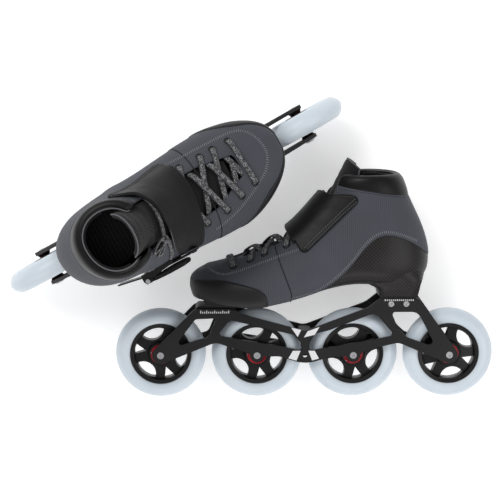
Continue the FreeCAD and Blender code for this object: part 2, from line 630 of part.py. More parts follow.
def make_skate():
    nodes = {}
    shell, toe, upper, liner = make_boot()
    nodes["boot_shell"] = solids_of(shell)[:1]
    nodes["toe_cap"] = solids_of(toe)[:1]
    nodes["upper"] = solids_of(upper)[:1]
    nodes["liner"] = solids_of(liner)
    nodes["tongue"] = solids_of(tongue())
    runs, eyes = laces()
    nodes["laces"] = runs
    nodes["eyelets"] = [ring_at(p, n, 4.3, 2.4, -1.2, 0.9) for p, n in eyes]
    nodes["strap"] = solids_of(strap())
    nodes["ladder_strap"] = solids_of(ladder())
    nodes["buckle_base"] = solids_of(buckle_base())
    nodes["buckle_lever"] = solids_of(buckle_lever())
    nodes["buckle_pins"] = buckle_pins()
    nodes["frame_inner_rail"] = solids_of(rail(1))
    nodes["frame_outer_rail"] = solids_of(rail(-1))
    nodes["mount_blocks"] = mount_blocks()
    nodes["frame_screws"] = frame_screws()
    nodes["axles"] = [axle(x) for x in AXLES]
    rings = []
    for x in AXLES:
        rings += inner_rings(x)
    nodes["bearing_inner_rings"] = rings
    for i, x in enumerate(AXLES):
        n = i + 1
        nodes["wheel_%d_tyre" % n] = [tyre(x)]
        nodes["wheel_%d_hub" % n] = solids_of(hub(x, WHEEL_PHASE[i]))
        nodes["wheel_%d_bearings" % n] = bearings(x)
    flat = {}
    for k, parts in nodes.items():
        flat[k] = [q for p in parts for q in p.Solids]
    return flat


def matrix(cx, cy, cz, tx, ty, tz):
    """Rotation with the given images of the skate's axes, then a move."""
    m = FreeCAD.Matrix()
    m.A11, m.A21, m.A31 = cx.x, cx.y, cx.z
    m.A12, m.A22, m.A32 = cy.x, cy.y, cy.z
    m.A13, m.A23, m.A33 = cz.x, cz.y, cz.z
    m.A14, m.A24, m.A34 = tx, ty, tz
    return m


def place(shape, m):
    s = shape.copy()
    s.Placement = FreeCAD.Placement(m)
    return s


def tight_box(shapes):
    lo, hi = [1e9] * 3, [-1e9] * 3
    for s in shapes:
        vs, _ = s.tessellate(0.08)
        for v in vs:
            for k, c in enumerate((v.x, v.y, v.z)):
                lo[k] = min(lo[k], c)
                hi[k] = max(hi[k], c)
    return lo, hi


def main():
    nodes = make_skate()
    lean, turn = math.radians(LEAN), math.radians(TURN)
    c, s = math.cos(lean), math.sin(lean)
    axes_a = (V(-1, 0, 0), V(0, -s, c), V(0, c, s))
    c2, s2 = math.cos(turn), math.sin(turn)
    axes_b = (V(c2, s2, 0), V(-s2, c2, 0), V(0, 0, 1))
    extremes = [q for k in nodes for q in nodes[k]
                if k.endswith("tyre") or k in ("upper", "boot_shell", "toe_cap", "buckle_lever", "tongue", "buckle_base", "ladder_strap", "liner", "strap")]
    mid = V(0, 0, AXLE_Z)
    # the lying skate rests on its lowest point, its axle line's centre at LYING_XY
    ma = matrix(*axes_a, 0, 0, 0)
    lo, hi = tight_box([place(q, ma) for q in extremes])
    off = axes_a[0] * mid.x + axes_a[1] * mid.y + axes_a[2] * mid.z
    ta = V(LYING_XY[0] - off.x, LYING_XY[1] - off.y, -lo[2])
    tb = V(STANDING_XY[0], STANDING_XY[1], 0)
    ma = matrix(*axes_a, ta.x, ta.y, ta.z)
    mb = matrix(*axes_b, tb.x, tb.y, tb.z)
    la, ha = tight_box([place(q, ma) for q in extremes])
    lb, hb = tight_box([place(q, mb) for q in extremes])
    cx = (min(la[0], lb[0]) + max(ha[0], hb[0])) / 2
    cy = (min(la[1], lb[1]) + max(ha[1], hb[1])) / 2
    ma = matrix(*axes_a, ta.x - cx, ta.y - cy, ta.z)
    mb = matrix(*axes_b, tb.x - cx, tb.y - cy, tb.z)
    print("centre shift", cx, cy, "lying origin", ta.x - cx, ta.y - cy, ta.z,
          "standing origin", tb.x - cx, tb.y - cy)
    print("lying box", la, ha, "standing box", lb, hb)
    for name, m in (("lying", ma), ("standing", mb)):
        for k, parts in nodes.items():
            moved = [place(q, m) for q in parts]
            shape = moved[0] if len(moved) == 1 else Part.makeCompound(moved)
            bad = [i for i, q in enumerate(parts) if not q.isValid() or q.ShapeType != "Solid"]
            if bad and name == "lying":
                print("CHECK", k, [parts[i].ShapeType for i in bad[:3]], "bad", len(bad))
            shape.exportStep("parts/%s_%s.step" % (name, k))
    tot = 0
    for k, parts in nodes.items():
        vol = sum(q.Volume for q in parts)
        print("%-22s solids %3d volume %.1f" % (k, len(parts), vol))
        tot += vol
    print("total", tot)


main()
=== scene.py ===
# Looks of the pair of inline skates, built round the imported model.
# Each skate is made once in its own frame (x to the toe, y to the inner side,
# z up, millimetres) and placed twice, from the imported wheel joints.
import math
import json
import random

import bpy
import numpy as np
from mathutils import Matrix, Vector
from mathutils.bvhtree import BVHTree


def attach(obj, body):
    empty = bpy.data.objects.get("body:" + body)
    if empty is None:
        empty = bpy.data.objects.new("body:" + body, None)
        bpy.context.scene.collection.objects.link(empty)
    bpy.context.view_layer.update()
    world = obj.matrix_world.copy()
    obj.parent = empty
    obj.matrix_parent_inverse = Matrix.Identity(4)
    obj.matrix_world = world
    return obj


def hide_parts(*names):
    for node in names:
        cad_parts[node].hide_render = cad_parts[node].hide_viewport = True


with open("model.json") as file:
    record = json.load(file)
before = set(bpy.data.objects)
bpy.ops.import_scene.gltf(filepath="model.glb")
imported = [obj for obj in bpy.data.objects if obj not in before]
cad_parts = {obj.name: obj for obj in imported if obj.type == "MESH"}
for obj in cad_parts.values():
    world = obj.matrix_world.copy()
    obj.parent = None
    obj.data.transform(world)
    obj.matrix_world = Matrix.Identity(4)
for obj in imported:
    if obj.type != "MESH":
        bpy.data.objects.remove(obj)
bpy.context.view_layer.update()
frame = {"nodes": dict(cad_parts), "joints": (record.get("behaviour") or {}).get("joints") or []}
MM = 0.001
RNG = random.Random(7)
scene = bpy.context.scene
JOINTS = {j["name"]: j for j in frame["joints"]}


def placement(prefix):
    p1 = Vector(JOINTS[prefix + "_wheel_1_spin"]["pos_m"])
    p4 = Vector(JOINTS[prefix + "_wheel_4_spin"]["pos_m"])
    x = (p1 - p4).normalized()
    y = Vector(JOINTS[prefix + "_wheel_1_spin"]["axis"]).normalized()
    z = x.cross(y).normalized()
    o = (p1 + p4) / 2 - z * 0.05
    m = Matrix.Identity(4)
    for i in range(3):
        m[i][0], m[i][1], m[i][2], m[i][3] = x[i], y[i], z[i], o[i]
    return m


PREFIXES = ("lying", "standing")
PLACE = {p: placement(p) for p in PREFIXES}
AXLES = (159.75, 53.25, -53.25, -159.75)

# ------------------------------------------------------------------ materials


class Nodes:
    """Short way to write a node material."""

    def __init__(self, name):
        self.m = bpy.data.materials.new(name)
        self.m.use_nodes = True
        self.t = self.m.node_tree
        self.b = self.t.nodes["Principled BSDF"]

    def n(self, kind, **values):
        node = self.t.nodes.new("ShaderNode" + kind)
        for k, v in values.items():
            if k in node.inputs.keys():
                node.inputs[k].default_value = v
            else:
                setattr(node, k, v)
        return node

    def link(self, a, b):
        self.t.links.new(a, b)

    def coord(self, kind="Object"):
        return self.n("TexCoord").outputs[kind]

    def mapping(self, src, scale=(1, 1, 1), rot=(0, 0, 0)):
        m = self.n("Mapping")
        m.inputs["Scale"].default_value = scale
        m.inputs["Rotation"].default_value = rot
        self.link(src, m.inputs["Vector"])
        return m.outputs["Vector"]

    def ramp(self, src, stops):
        r = self.n("ValToRGB")
        e = r.color_ramp.elements
        while len(e) < len(stops):
            e.new(0.5)
        for i, (p, c) in enumerate(stops):
            e[i].position = p
            e[i].color = (c[0], c[1], c[2], 1) if len(c) == 3 else c
        self.link(src, r.inputs["Fac"])
        return r.outputs["Color"]

    def noise(self, src, scale, detail=3.0, rough=0.5):
        n = self.n("TexNoise", Scale=scale, Detail=detail, Roughness=rough)
        self.link(src, n.inputs["Vector"])
        return n.outputs["Fac"]

    def wave(self, src, scale, direction="X", distortion=0.0, profile="SIN"):
        n = self.n("TexWave", Scale=scale, Distortion=distortion)
        n.bands_direction = direction
        n.wave_profile = profile
        self.link(src, n.inputs["Vector"])
        return n.outputs["Fac"]

    def math(self, op, a, b=None):
        n = self.n("Math")
        n.operation = op
        for i, v in enumerate((a, b)):
            if v is None:
                continue
            if isinstance(v, (int, float)):
                n.inputs[i].default_value = v
            else:
                self.link(v, n.inputs[i])
        return n.outputs[0]

    def mix(self, fac, a, b):
        n = self.n("Mix")
        n.data_type = "RGBA"
        ins = [n.inputs[0], n.inputs[6], n.inputs[7]]
        for s, v in zip(ins, (fac, a, b)):
            if isinstance(v, (int, float)):
                s.default_value = v
            elif isinstance(v, tuple):
                s.default_value = (v[0], v[1], v[2], 1)
            else:
                self.link(v, s)
        return n.outputs[2]

    def bump(self, height, strength, distance, under=None):
        n = self.n("Bump", Strength=strength, Distance=distance)
        self.link(height, n.inputs["Height"])
        if under is not None:
            self.link(under, n.inputs["Normal"])
        return n.outputs["Normal"]

    def done(self, color=None, rough=None, normal=None, **plain):
        b = self.b
        plain.setdefault("Specular_IOR_Level", 0.3)
        for k, v in plain.items():
            b.inputs[k.replace("_", " ")].default_value = v
        for name, v in (("Base Color", color), ("Roughness", rough)):
            if v is None:
                continue
            if isinstance(v, (int, float)):
                b.inputs[name].default_value = v
            elif isinstance(v, tuple):
                b.inputs[name].default_value = (v[0], v[1], v[2], 1)
            else:
                self.link(v, b.inputs[name])
        if normal is not None:
            self.link(normal, b.inputs["Normal"])
        return self.m


def rgb(r, g, b):
    """sRGB 0 to 255 to linear."""
    out = []
    for v in (r, g, b):
        v /= 255.0
        out.append(v / 12.92 if v <= 0.04045 else ((v + 0.055) / 1.055) ** 2.4)
    return tuple(out)


def mat_upper():
    k = Nodes("ribbed_microfibre")
    co = k.coord()
    rib = k.wave(co, 142.8, "X", 0.0)
    fine = k.noise(co, 2600.0, 2.0)
    broad = k.noise(co, 26.0, 3.0)
    a = k.ramp(broad, [(0.25, rgb(60, 62, 69)), (0.75, rgb(70, 72, 80))])
    c = k.mix(k.math("MULTIPLY", rib, 0.36), a, rgb(88, 89, 95))
    c = k.mix(k.math("MULTIPLY", fine, 0.35), c, rgb(45, 47, 54))
    h = k.math("ADD", k.math("MULTIPLY", rib, 0.8), k.math("MULTIPLY", fine, 0.5))
    r = k.ramp(broad, [(0.2, (0.62,) * 3), (0.8, (0.74,) * 3)])
    return k.done(c, r, k.bump(h, 0.5, 0.0004), Sheen_Weight=0.04, Sheen_Roughness=0.5, Specular_IOR_Level=0.2)


def mat_carbon():
    k = Nodes("woven_composite")
    co = k.coord()
    p1 = k.mapping(co, (1, 1, 1), (0, math.radians(45), 0))
    w1 = k.wave(p1, 110.0, "X", 0.0)
    w2 = k.wave(p1, 110.0, "Z", 0.0)
    weave = k.math("GREATER_THAN", k.math("ADD", w1, w2), 1.0)
    soft = k.math("MULTIPLY", w1, w2)
    broad = k.noise(co, 14.0, 2.0)
    a = k.mix(weave, rgb(13, 11, 12), rgb(42, 38, 37))
    c = k.mix(k.math("MULTIPLY", broad, 0.5), a, rgb(12, 11, 12))
    r = k.mix(soft, (0.36,) * 3, (0.52,) * 3)
    return k.done(c, r, k.bump(soft, 0.35, 0.0003), Coat_Weight=0.05, Coat_Roughness=0.3, Specular_IOR_Level=0.22)


def mat_rubber():
    k = Nodes("toe_rubber")
    co = k.coord()
    n = k.noise(co, 900.0, 3.0)
    b = k.noise(co, 22.0, 3.0)
    c = k.ramp(b, [(0.3, rgb(20, 19, 21)), (0.75, rgb(31, 29, 32))])
    r = k.ramp(b, [(0.2, (0.42,) * 3), (0.8, (0.58,) * 3)])
    return k.done(c, r, k.bump(n, 0.12, 0.0003))


def mat_leather(name, dark, light, grain=1400.0, rough=(0.36, 0.5), coat=0.0):
    k = Nodes(name)
    co = k.coord()
    v = k.n("TexVoronoi", Scale=grain)
    v.feature = "DISTANCE_TO_EDGE"
    k.link(co, v.inputs["Vector"])
    crease = k.noise(k.mapping(co, (1, 1, 2.2)), 60.0, 5.0, 0.6)
    b = k.noise(co, 18.0, 3.0)
    c = k.mix(b, dark, light)
    r = k.ramp(crease, [(0.3, (rough[0],) * 3), (0.75, (rough[1],) * 3)])
    h = k.math("ADD", k.math("MULTIPLY", v.outputs["Distance"], 0.7), k.math("MULTIPLY", crease, 0.8))
    return k.done(c, r, k.bump(h, 0.3, 0.0004), Coat_Weight=coat, Coat_Roughness=0.25, Specular_IOR_Level=0.2)


def mat_mesh(name, dark, light, scale=420.0):
    k = Nodes(name)
    co = k.coord()
    p = k.mapping(co, (1, 1, 1), (0.4, 0.3, 0.785))
    w = k.math("MULTIPLY", k.wave(p, scale, "X", 0.4), k.wave(p, scale, "Z", 0.4))
    b = k.noise(co, 30.0, 3.0)
    c = k.mix(k.math("ADD", k.math("MULTIPLY", w, 0.6), k.math("MULTIPLY", b, 0.3)), dark, light)
    return k.done(c, 0.85, k.bump(w, 0.6, 0.0004), Sheen_Weight=0.1)


def mat_lace():
    k = Nodes("woven_lace")
    uv = k.coord("UV")
    a = k.wave(k.mapping(uv, (1, 1, 1), (0, 0, math.radians(40))), 0.42, "X", 0.0)
    b = k.wave(k.mapping(uv, (1, 1, 1), (0, 0, math.radians(-40))), 0.42, "X", 0.0)
    w = k.math("MAXIMUM", a, b)
    v = k.n("TexVoronoi", Scale=1.45)
    k.link(k.mapping(uv, (1.0, 1.5, 1)), v.inputs["Vector"])
    speck = k.n("SeparateColor")
    k.link(v.outputs["Color"], speck.inputs[0])
    c = k.ramp(speck.outputs[0], [(0.18, rgb(15, 15, 17)), (0.4, rgb(62, 62, 66)), (0.66, rgb(112, 112, 115)), (0.9, rgb(178, 178, 180))])
    c = k.mix(k.math("MULTIPLY", k.math("SUBTRACT", 1.0, w), 0.65), c, rgb(18, 18, 20))
    # painted shade: the ribbon's two side edges, found from the UV round its profile, are darkened to near-black to
    # stand for the shade along the lace's edges
    part = k.n("SeparateXYZ")
    k.link(uv, part.inputs[0])
    side = k.math("ABSOLUTE", k.math("SINE", k.math("MULTIPLY", part.outputs[1], math.pi / 7.0)))
    c = k.mix(k.ramp(side, [(0.12, (0, 0, 0)), (0.62, (1, 1, 1))]), rgb(14, 14, 16), c)
    return k.done(c, 0.86, k.bump(w, 0.8, 0.0005), Sheen_Weight=0.08)


def mat_thread(name, color):
    k = Nodes(name)
    co = k.coord()
    n = k.noise(co, 3000.0, 2.0)
    c = k.mix(n, tuple(v * 0.75 for v in color), tuple(min(1, v * 1.2) for v in color))
    return k.done(c, 0.7, k.bump(n, 0.3, 0.0002))


def mat_plastic(name, dark, light, rough=(0.3, 0.45), grain=1800.0):
    k = Nodes(name)
    co = k.coord()
    n = k.noise(co, grain, 2.0)
    b = k.noise(co, 40.0, 4.0)
    c = k.mix(b, dark, light)
    r = k.ramp(b, [(0.3, (rough[0],) * 3), (0.7, (rough[1],) * 3)])
    return k.done(c, r, k.bump(n, 0.12, 0.0002))


def mat_anodised():
    k = Nodes("black_anodised")
    co = k.coord()
    n = k.noise(k.mapping(co, (0.25, 1, 1)), 1600.0, 3.0)
    b = k.noise(co, 16.0, 4.0)
    c = k.mix(b, rgb(26, 25, 26), rgb(38, 37, 38))
    r = k.ramp(k.math("ADD", k.math("MULTIPLY", b, 0.6), k.math("MULTIPLY", n, 0.4)),
               [(0.3, (0.4,) * 3), (0.7, (0.54,) * 3)])
    return k.done(c, r, k.bump(n, 0.1, 0.0001), Metallic=0.3)


def mat_steel(name, base, rough=(0.22, 0.38)):
    k = Nodes(name)
    co = k.coord()
    n = k.noise(k.mapping(co, (1, 0.1, 1)), 1500.0, 3.0)
    r = k.ramp(n, [(0.3, (rough[0],) * 3), (0.7, (rough[1],) * 3)])
    c = k.mix(n, tuple(v * 0.88 for v in base), base)
    return k.done(c, r, k.bump(n, 0.06, 0.0001), Metallic=1.0)


def mat_tyre():
    k = Nodes("milky_urethane")
    co = k.coord()
    b = k.noise(co, 24.0, 3.0)
    n = k.noise(co, 700.0, 3.0)
    c = k.mix(b, rgb(188, 199, 208), rgb(212, 219, 226))
    r = k.ramp(k.math("ADD", k.math("MULTIPLY", b, 0.5), k.math("MULTIPLY", n, 0.5)),
               [(0.35, (0.26,) * 3), (0.7, (0.4,) * 3)])
    return k.done(c, r, k.bump(n, 0.05, 0.0002), Subsurface_Weight=0.35,
                  Subsurface_Radius=(0.006, 0.007, 0.008), Subsurface_Scale=1.0)


def mat_bearing():
    k = Nodes("bearing_shield")
    co = k.coord()
    b = k.noise(co, 300.0, 3.0)
    c = k.mix(b, rgb(140, 22, 34), rgb(176, 38, 48))
    return k.done(c, 0.35, k.bump(b, 0.08, 0.0001))


MAT = {
    "upper": mat_upper(), "carbon": mat_carbon(), "toe": mat_rubber(),
    "strap": mat_leather("strap_leather", rgb(9, 8, 9), rgb(18, 16, 18), 1500.0, (0.4, 0.54)),
    "collar": mat_leather("collar_skin", rgb(9, 8, 9), rgb(16, 15, 16), 1100.0, (0.34, 0.48)),
    "lining": mat_mesh("lining_mesh", rgb(5, 5, 6), rgb(16, 16, 17)),
    "tongue": mat_mesh("tongue_mesh", rgb(9, 8, 9), rgb(27, 26, 28), 300.0),
    "insole": mat_mesh("insole_cloth", rgb(12, 12, 13), rgb(30, 30, 32), 500.0),
    "lace": mat_lace(), "thread": mat_thread("light_thread", rgb(138, 140, 146)),
    "dark_thread": mat_thread("dark_thread", rgb(84, 82, 84)),
    "piping": mat_thread("grey_piping", rgb(92, 92, 96)),
    # near-black thread, used for the painted shade cords along the shell edge and vamp seam and for the dotted stitches
    # under the collar
    "edge": mat_thread("seam_shade_and_thread", rgb(18, 18, 20)),
    "eyelet": mat_plastic("lacquered_ring", rgb(14, 14, 15), rgb(26, 26, 28), (0.2, 0.32)),
    # near-black discs in the eyelet openings: dark lining and painted shade of the holes
    "hole": mat_thread("eyelet_opening_dark", rgb(8, 8, 8)),
    "nylon": mat_plastic("black_nylon", rgb(12, 11, 12), rgb(21, 20, 21), (0.24, 0.4)),
    "hub": mat_plastic("hub_nylon", rgb(11, 10, 11), rgb(20, 19, 20), (0.26, 0.4)),
    "frame": mat_anodised(), "steel": mat_steel("bright_steel", rgb(205, 205, 208)),
    "ring": mat_steel("ground_ring", rgb(214, 196, 200), (0.28, 0.42)),
    "shield": mat_bearing(), "tyre": mat_tyre(),
    "print": mat_plastic("frame_print", rgb(206, 206, 208), rgb(226, 226, 228), (0.45, 0.6)),
}

# ------------------------------------------------------------------ mesh tools


def mesh_from(name, verts, faces, smooth=True, uv=None):
    """Mesh in the skate's frame, from millimetres."""
    me = bpy.data.meshes.new(name)
    v = np.asarray(verts, float) * MM
    me.from_pydata([tuple(p) for p in v], [], [tuple(int(i) for i in f) for f in faces])
    if uv is not None:
        layer = me.uv_layers.new(name="UVMap")
        for loop in me.loops:
            layer.data[loop.index].uv = uv[loop.vertex_index]
    me.validate()
    me.update()
    if smooth:
        me.polygons.foreach_set("use_smooth", [True] * len(me.polygons))
    return me


def sharpen(me, angle=38):
    me.set_sharp_from_angle(angle=math.radians(angle))


ITEMS = []


def item(name, me, mat, body, slot, stands_for=(), mods=()):
    """A piece of both skates; body and nodes are named without their prefix."""
    if not me.materials:
        me.materials.append(MAT[mat])
    ITEMS.append((name, me, body, slot, stands_for, mods))


def panel(A, F, lo, hi, edge_only=False):
    """Closed sheet over base rows A = x y z nx ny nz ...; lo and hi are offsets along the normal."""
    P, n = A[:, :3], A[:, 3:6]
    n = n / np.maximum(np.linalg.norm(n, axis=1, keepdims=True), 1e-9)
    lo = np.broadcast_to(np.asarray(lo, float), (len(P),))[:, None]
    hi = np.broadcast_to(np.asarray(hi, float), (len(P),))[:, None]
    V = np.vstack([P + n * hi, P + n * lo])
    k = len(P)
    faces = [tuple(f) for f in F] + [tuple(i + k for i in reversed(f)) for f in F]
    seen = {}
    for f in F:
        for a, b in zip(f, f[1:] + f[:1]):
            seen[(a, b)] = True
    rim = [(a, b) for (a, b) in seen if (b, a) not in seen]
    faces += [(b, a, a + k, b + k) for a, b in rim]
    return V, faces, rim


def clip(A, F, col):
    """Keep the part of the mesh where column col is at least 0."""
    A = A.copy()
    f = A[:, col]
    f[np.abs(f) < 0.12] = 0.0
    rows, cache, out = [], {}, []
    base = len(A)
    keep = f >= 0

    def cut(a, b):
        key = (a, b) if a < b else (b, a)
        if key not in cache:
            i, j = key
            t = f[i] / (f[i] - f[j])
            cache[key] = base + len(rows)
            rows.append(A[i] + (A[j] - A[i]) * t)
        return cache[key]
    for poly in F:
        s = [keep[i] for i in poly]
        if all(s):
            out.append(tuple(poly))
            continue
        if not any(s):
            continue
        new = []
        m = len(poly)
        for i in range(m):
            a, b = poly[i], poly[(i + 1) % m]
            if keep[a]:
                new.append(a)
            if keep[a] != keep[b]:
                if keep[a] and f[a] == 0:
                    continue
                if keep[b] and f[b] == 0:
                    continue
                new.append(cut(a, b))
        if len(new) >= 3:
            out.append(tuple(new))
    if rows:
        A = np.vstack([A, np.array(rows)])
    used = sorted({i for p in out for i in p})
    remap = {o: i for i, o in enumerate(used)}
    return A[used], [tuple(remap[i] for i in p) for p in out]


def poly_sd(P, poly):
    """Signed distance to a closed polygon, positive inside."""
    poly = np.asarray(poly, float)
    q = np.roll(poly, -1, 0)
    best = np.full(len(P), 1e9)
    inside = np.zeros(len(P), bool)
    for a, b in zip(poly, q):
        d = b - a
        t = np.clip(((P - a) @ d) / max(d @ d, 1e-12), 0, 1)
        best = np.minimum(best, np.linalg.norm(P - (a + t[:, None] * d), axis=1))
        cross = (a[1] > P[:, 1]) != (b[1] > P[:, 1])
        with np.errstate(divide="ignore", invalid="ignore"):
            xi = (b[0] - a[0]) * (P[:, 1] - a[1]) / (b[1] - a[1] if b[1] != a[1] else 1e-12) + a[0]
        inside ^= cross & (P[:, 0] < xi)
    return np.where(inside, best, -best)


def curve_pts(pts, step=1.0, closed=False):
    """Smooth line through points (centripetal Catmull-Rom), evenly spaced."""
    P = [np.asarray(p, float) for p in pts]
    n = len(P)
    if closed:
        P = [P[-1]] + P + [P[0], P[1]]
    else:
        P = [P[0] * 2 - P[1]] + P + [P[-1] * 2 - P[-2]]
    out = []
    for i in range(1, len(P) - 2):
        p0, p1, p2, p3 = P[i - 1], P[i], P[i + 1], P[i + 2]
        t0 = 0.0
        t1 = t0 + max(np.linalg.norm(p1 - p0), 1e-6) ** 0.5
        t2 = t1 + max(np.linalg.norm(p2 - p1), 1e-6) ** 0.5
        t3 = t2 + max(np.linalg.norm(p3 - p2), 1e-6) ** 0.5
        m = max(4, int(np.linalg.norm(p2 - p1) / step * 2))
        for t in np.linspace(t1, t2, m, endpoint=False):
            a1 = (t1 - t) / (t1 - t0) * p0 + (t - t0) / (t1 - t0) * p1
            a2 = (t2 - t) / (t2 - t1) * p1 + (t - t1) / (t2 - t1) * p2
            a3 = (t3 - t) / (t3 - t2) * p2 + (t - t2) / (t3 - t2) * p3
            b1 = (t2 - t) / (t2 - t0) * a1 + (t - t0) / (t2 - t0) * a2
            b2 = (t3 - t) / (t3 - t1) * a2 + (t - t1) / (t3 - t1) * a3
            out.append((t2 - t) / (t2 - t1) * b1 + (t - t1) / (t2 - t1) * b2)
    out.append(P[-2])
    out = np.array(out)
    d = np.r_[0, np.cumsum(np.linalg.norm(np.diff(out, axis=0), axis=1))]
    k = max(2, int(round(d[-1] / step)) + 1)
    s = np.linspace(0, d[-1], k)
    return np.stack([np.interp(s, d, out[:, c]) for c in range(out.shape[1])], 1)


def sweep(path, ups, profile, closed=False, cap=True, scale=None):
    """Profile (u across, w up) carried along a path whose up direction is given."""
    P, U = np.asarray(path, float), np.asarray(ups, float)
    n, m = len(P), len(profile)
    T = np.gradient(P, axis=0)
    if closed:
        T = np.roll(P, -1, 0) - np.roll(P, 1, 0)
    T /= np.maximum(np.linalg.norm(T, axis=1, keepdims=True), 1e-9)
    U = U - (U * T).sum(1, keepdims=True) * T
    U /= np.maximum(np.linalg.norm(U, axis=1, keepdims=True), 1e-9)
    S = np.cross(T, U)
    V = []
    for i in range(n):
        k = 1.0 if scale is None else scale[i]
        for u, w in profile:
            V.append(P[i] + S[i] * u * k + U[i] * w * k)
    F = []
    for i in range(n if closed else n - 1):
        j = (i + 1) % n
        for a in range(m):
            b = (a + 1) % m
            F.append((i * m + a, i * m + b, j * m + b, j * m + a))
    if cap and not closed:
        F.append(tuple(range(m - 1, -1, -1)))
        F.append(tuple((n - 1) * m + a for a in range(m)))
    d = np.r_[0, np.cumsum(np.linalg.norm(np.diff(P, axis=0), axis=1))]
    per = np.r_[0, np.cumsum([math.dist(profile[i], profile[i + 1]) for i in range(m - 1)])]
    uv = [(float(d[i]), float(per[a])) for i in range(n) for a in range(m)]
    return V, F, uv


def round_profile(r, m=8):
    return [(r * math.cos(2 * math.pi * k / m), r * math.sin(2 * math.pi * k / m)) for k in range(m)]


def flat_profile(w, t, m=16, e=2.6):
    out = []
    for k in range(m):
        c, s = math.cos(2 * math.pi * k / m), math.sin(2 * math.pi * k / m)
        out.append((math.copysign(abs(c) ** (2 / e), c) * w / 2, math.copysign(abs(s) ** (2 / e), s) * t / 2))
    return out


def merge(parts):
    """Joins (V, F, uv) lists into one."""
    V, F, UV = [], [], []
    for p in parts:
        k = len(V)
        V += [tuple(v) for v in p[0]]
        F += [tuple(i + k for i in f) for f in p[1]]
        UV += list(p[2]) if len(p) > 2 and p[2] is not None else [(0.0, 0.0)] * len(p[0])
    return V, F, UV


def lathe_y(profile, x, z, seg=96):
    """Turned ring about the y line through (x, z); closed profile of (radius, y)."""
    V, F, m = [], [], len(profile)
    for i in range(seg):
        a = 2 * math.pi * i / seg
        for r, y in profile:
            V.append((x + r * math.cos(a), y, z + r * math.sin(a)))
    for i in range(seg):
        j = (i + 1) % seg
        for a in range(m):
            b = (a + 1) % m
            F.append((i * m + a, i * m + b, j * m + b, j * m + a))
    return V, F, None


def frame_at(p, n):
    n = Vector(n).normalized()
    a = Vector((1, 0, 0)) if abs(n.x) < 0.8 else Vector((0, 0, 1))
    u = n.cross(a).normalized()
    return Vector(p), u, n.cross(u), n


def lathe_at(profile, p, n, seg=28):
    """Turned ring round the line through p along n; closed profile of (radius, height)."""
    p, u, w, n = frame_at(p, n)
    V, F, m = [], [], len(profile)
    for i in range(seg):
        a = 2 * math.pi * i / seg
        d = u * math.cos(a) + w * math.sin(a)
        for r, h in profile:
            V.append(tuple(p + d * r + n * h))
    for i in range(seg):
        j = (i + 1) % seg
        for a in range(m):
            b = (a + 1) % m
            F.append((i * m + a, j * m + a, j * m + b, i * m + b))
    return V, F, None


# ------------------------------------------------------------------ boot skin
STN = [
    ((124.6, 136.0), (124.6, 126.0), 8.0, 10.0, 2.2, 2.2, 0.0),
    ((121.0, 140.0), (121.0, 115.5), 17.5, 20.5, 2.3, 2.2, 0.0),
    ((114.0, 144.6), (114.0, 110.6), 26.0, 30.5, 2.5, 2.2, 0.08),
    ((104.0, 148.9), (104.0, 108.8), 33.0, 39.5, 2.8, 2.1, 0.15),
    ((90.0, 152.6), (90.0, 106.4), 39.5, 48.5, 3.0, 2.0, 0.22),
    ((73.0, 158.2), (73.0, 104.8), 44.0, 56.0, 3.2, 2.0, 0.28),
    ((56.0, 165.6), (56.0, 104.0), 46.5, 60.0, 3.2, 2.0, 0.30),
    ((40.0, 173.7), (40.0, 106.0), 46.5, 60.5, 3.1, 2.0, 0.30),
    ((22.1, 183.4), (4.0, 115.3), 45.0, 59.0, 3.0, 2.0, 0.26),
    ((10.0, 193.5), (-27.0, 124.0), 43.0, 56.5, 2.8, 2.0, 0.20),
    ((1.0, 202.7), (-62.0, 128.4), 42.0, 54.0, 2.6, 2.0, 0.12),
    ((-6.5, 211.3), (-110.0, 128.0), 41.5, 52.0, 2.4, 2.0, 0.05),
    ((-9.5, 215.0), (-128.6, 136.0), 40.5, 50.0, 2.2, 2.0, 0.02),
    ((-15.6, 221.8), (-136.0, 160.5), 39.0, 48.0, 2.1, 2.0, 0.0),
    ((-22.0, 229.5), (-127.0, 195.5), 37.5, 45.5, 2.1, 2.0, 0.0),
    ((-27.7, 239.3), (-113.0, 225.8), 36.0, 43.0, 2.1, 2.0, 0.0),
    ((-33.5, 250.0), (-104.0, 250.0), 34.5, 41.5, 2.1, 2.0, 0.0),
]
FAN = {7: 270.0, 8: 255.0, 9: 242.0, 10: 230.0, 11: 219.0, 12: 214.0,
       13: 207.0, 14: 198.0, 15: 189.0, 16: 180.0}
ANG = [(FAN[i], float(i)) for i in range(7, 17)]
SHELL_EDGE = [(-136, 161), (-120, 174), (-106, 181.6), (-93, 185.6), (-84, 186.0), (-75.6, 183),
              (-63.4, 172.6), (-49.4, 154.7), (-32, 136.7), (-13, 123.5), (0, 118.5), (21, 113.6), (40, 109.8),
              (56, 107.6), (85, 109.6), (104, 112.4), (113, 114.0)]
TOE_EDGE = [(126, 133.4), (110, 135.2), (94.3, 136.2), (80, 134.6), (66.6, 132), (56, 129.4), (49, 126.4),
            (44.4, 121), (42.5, 112.5)]
SEAM = [(35.5, 178.1), (31.0, 161.7), (22.2, 138.4), (16.9, 122.2), (16.9, 108.5)]


def mix(a, b, t):
    return a + (b - a) * t


def station(s):
    i = max(0, min(len(STN) - 2, int(math.floor(s))))
    t = s - i
    a, b = STN[i], STN[i + 1]
    return ((mix(a[0][0], b[0][0], t), mix(a[0][1], b[0][1], t)),
            (mix(a[1][0], b[1][0], t), mix(a[1][1], b[1][1], t)),
            mix(a[2], b[2], t), mix(a[3], b[3], t), mix(a[4], b[4], t),
            mix(a[5], b[5], t), mix(a[6], b[6], t))


def station_at(angle):
    for (a0, s0), (a1, s1) in zip(ANG, ANG[1:]):
        if a1 <= angle <= a0:
            return s0 + (a0 - angle) / (a0 - a1) * (s1 - s0)
    return 16.0 + (180.0 - angle) / 9.0 if angle < 180 else 7.0


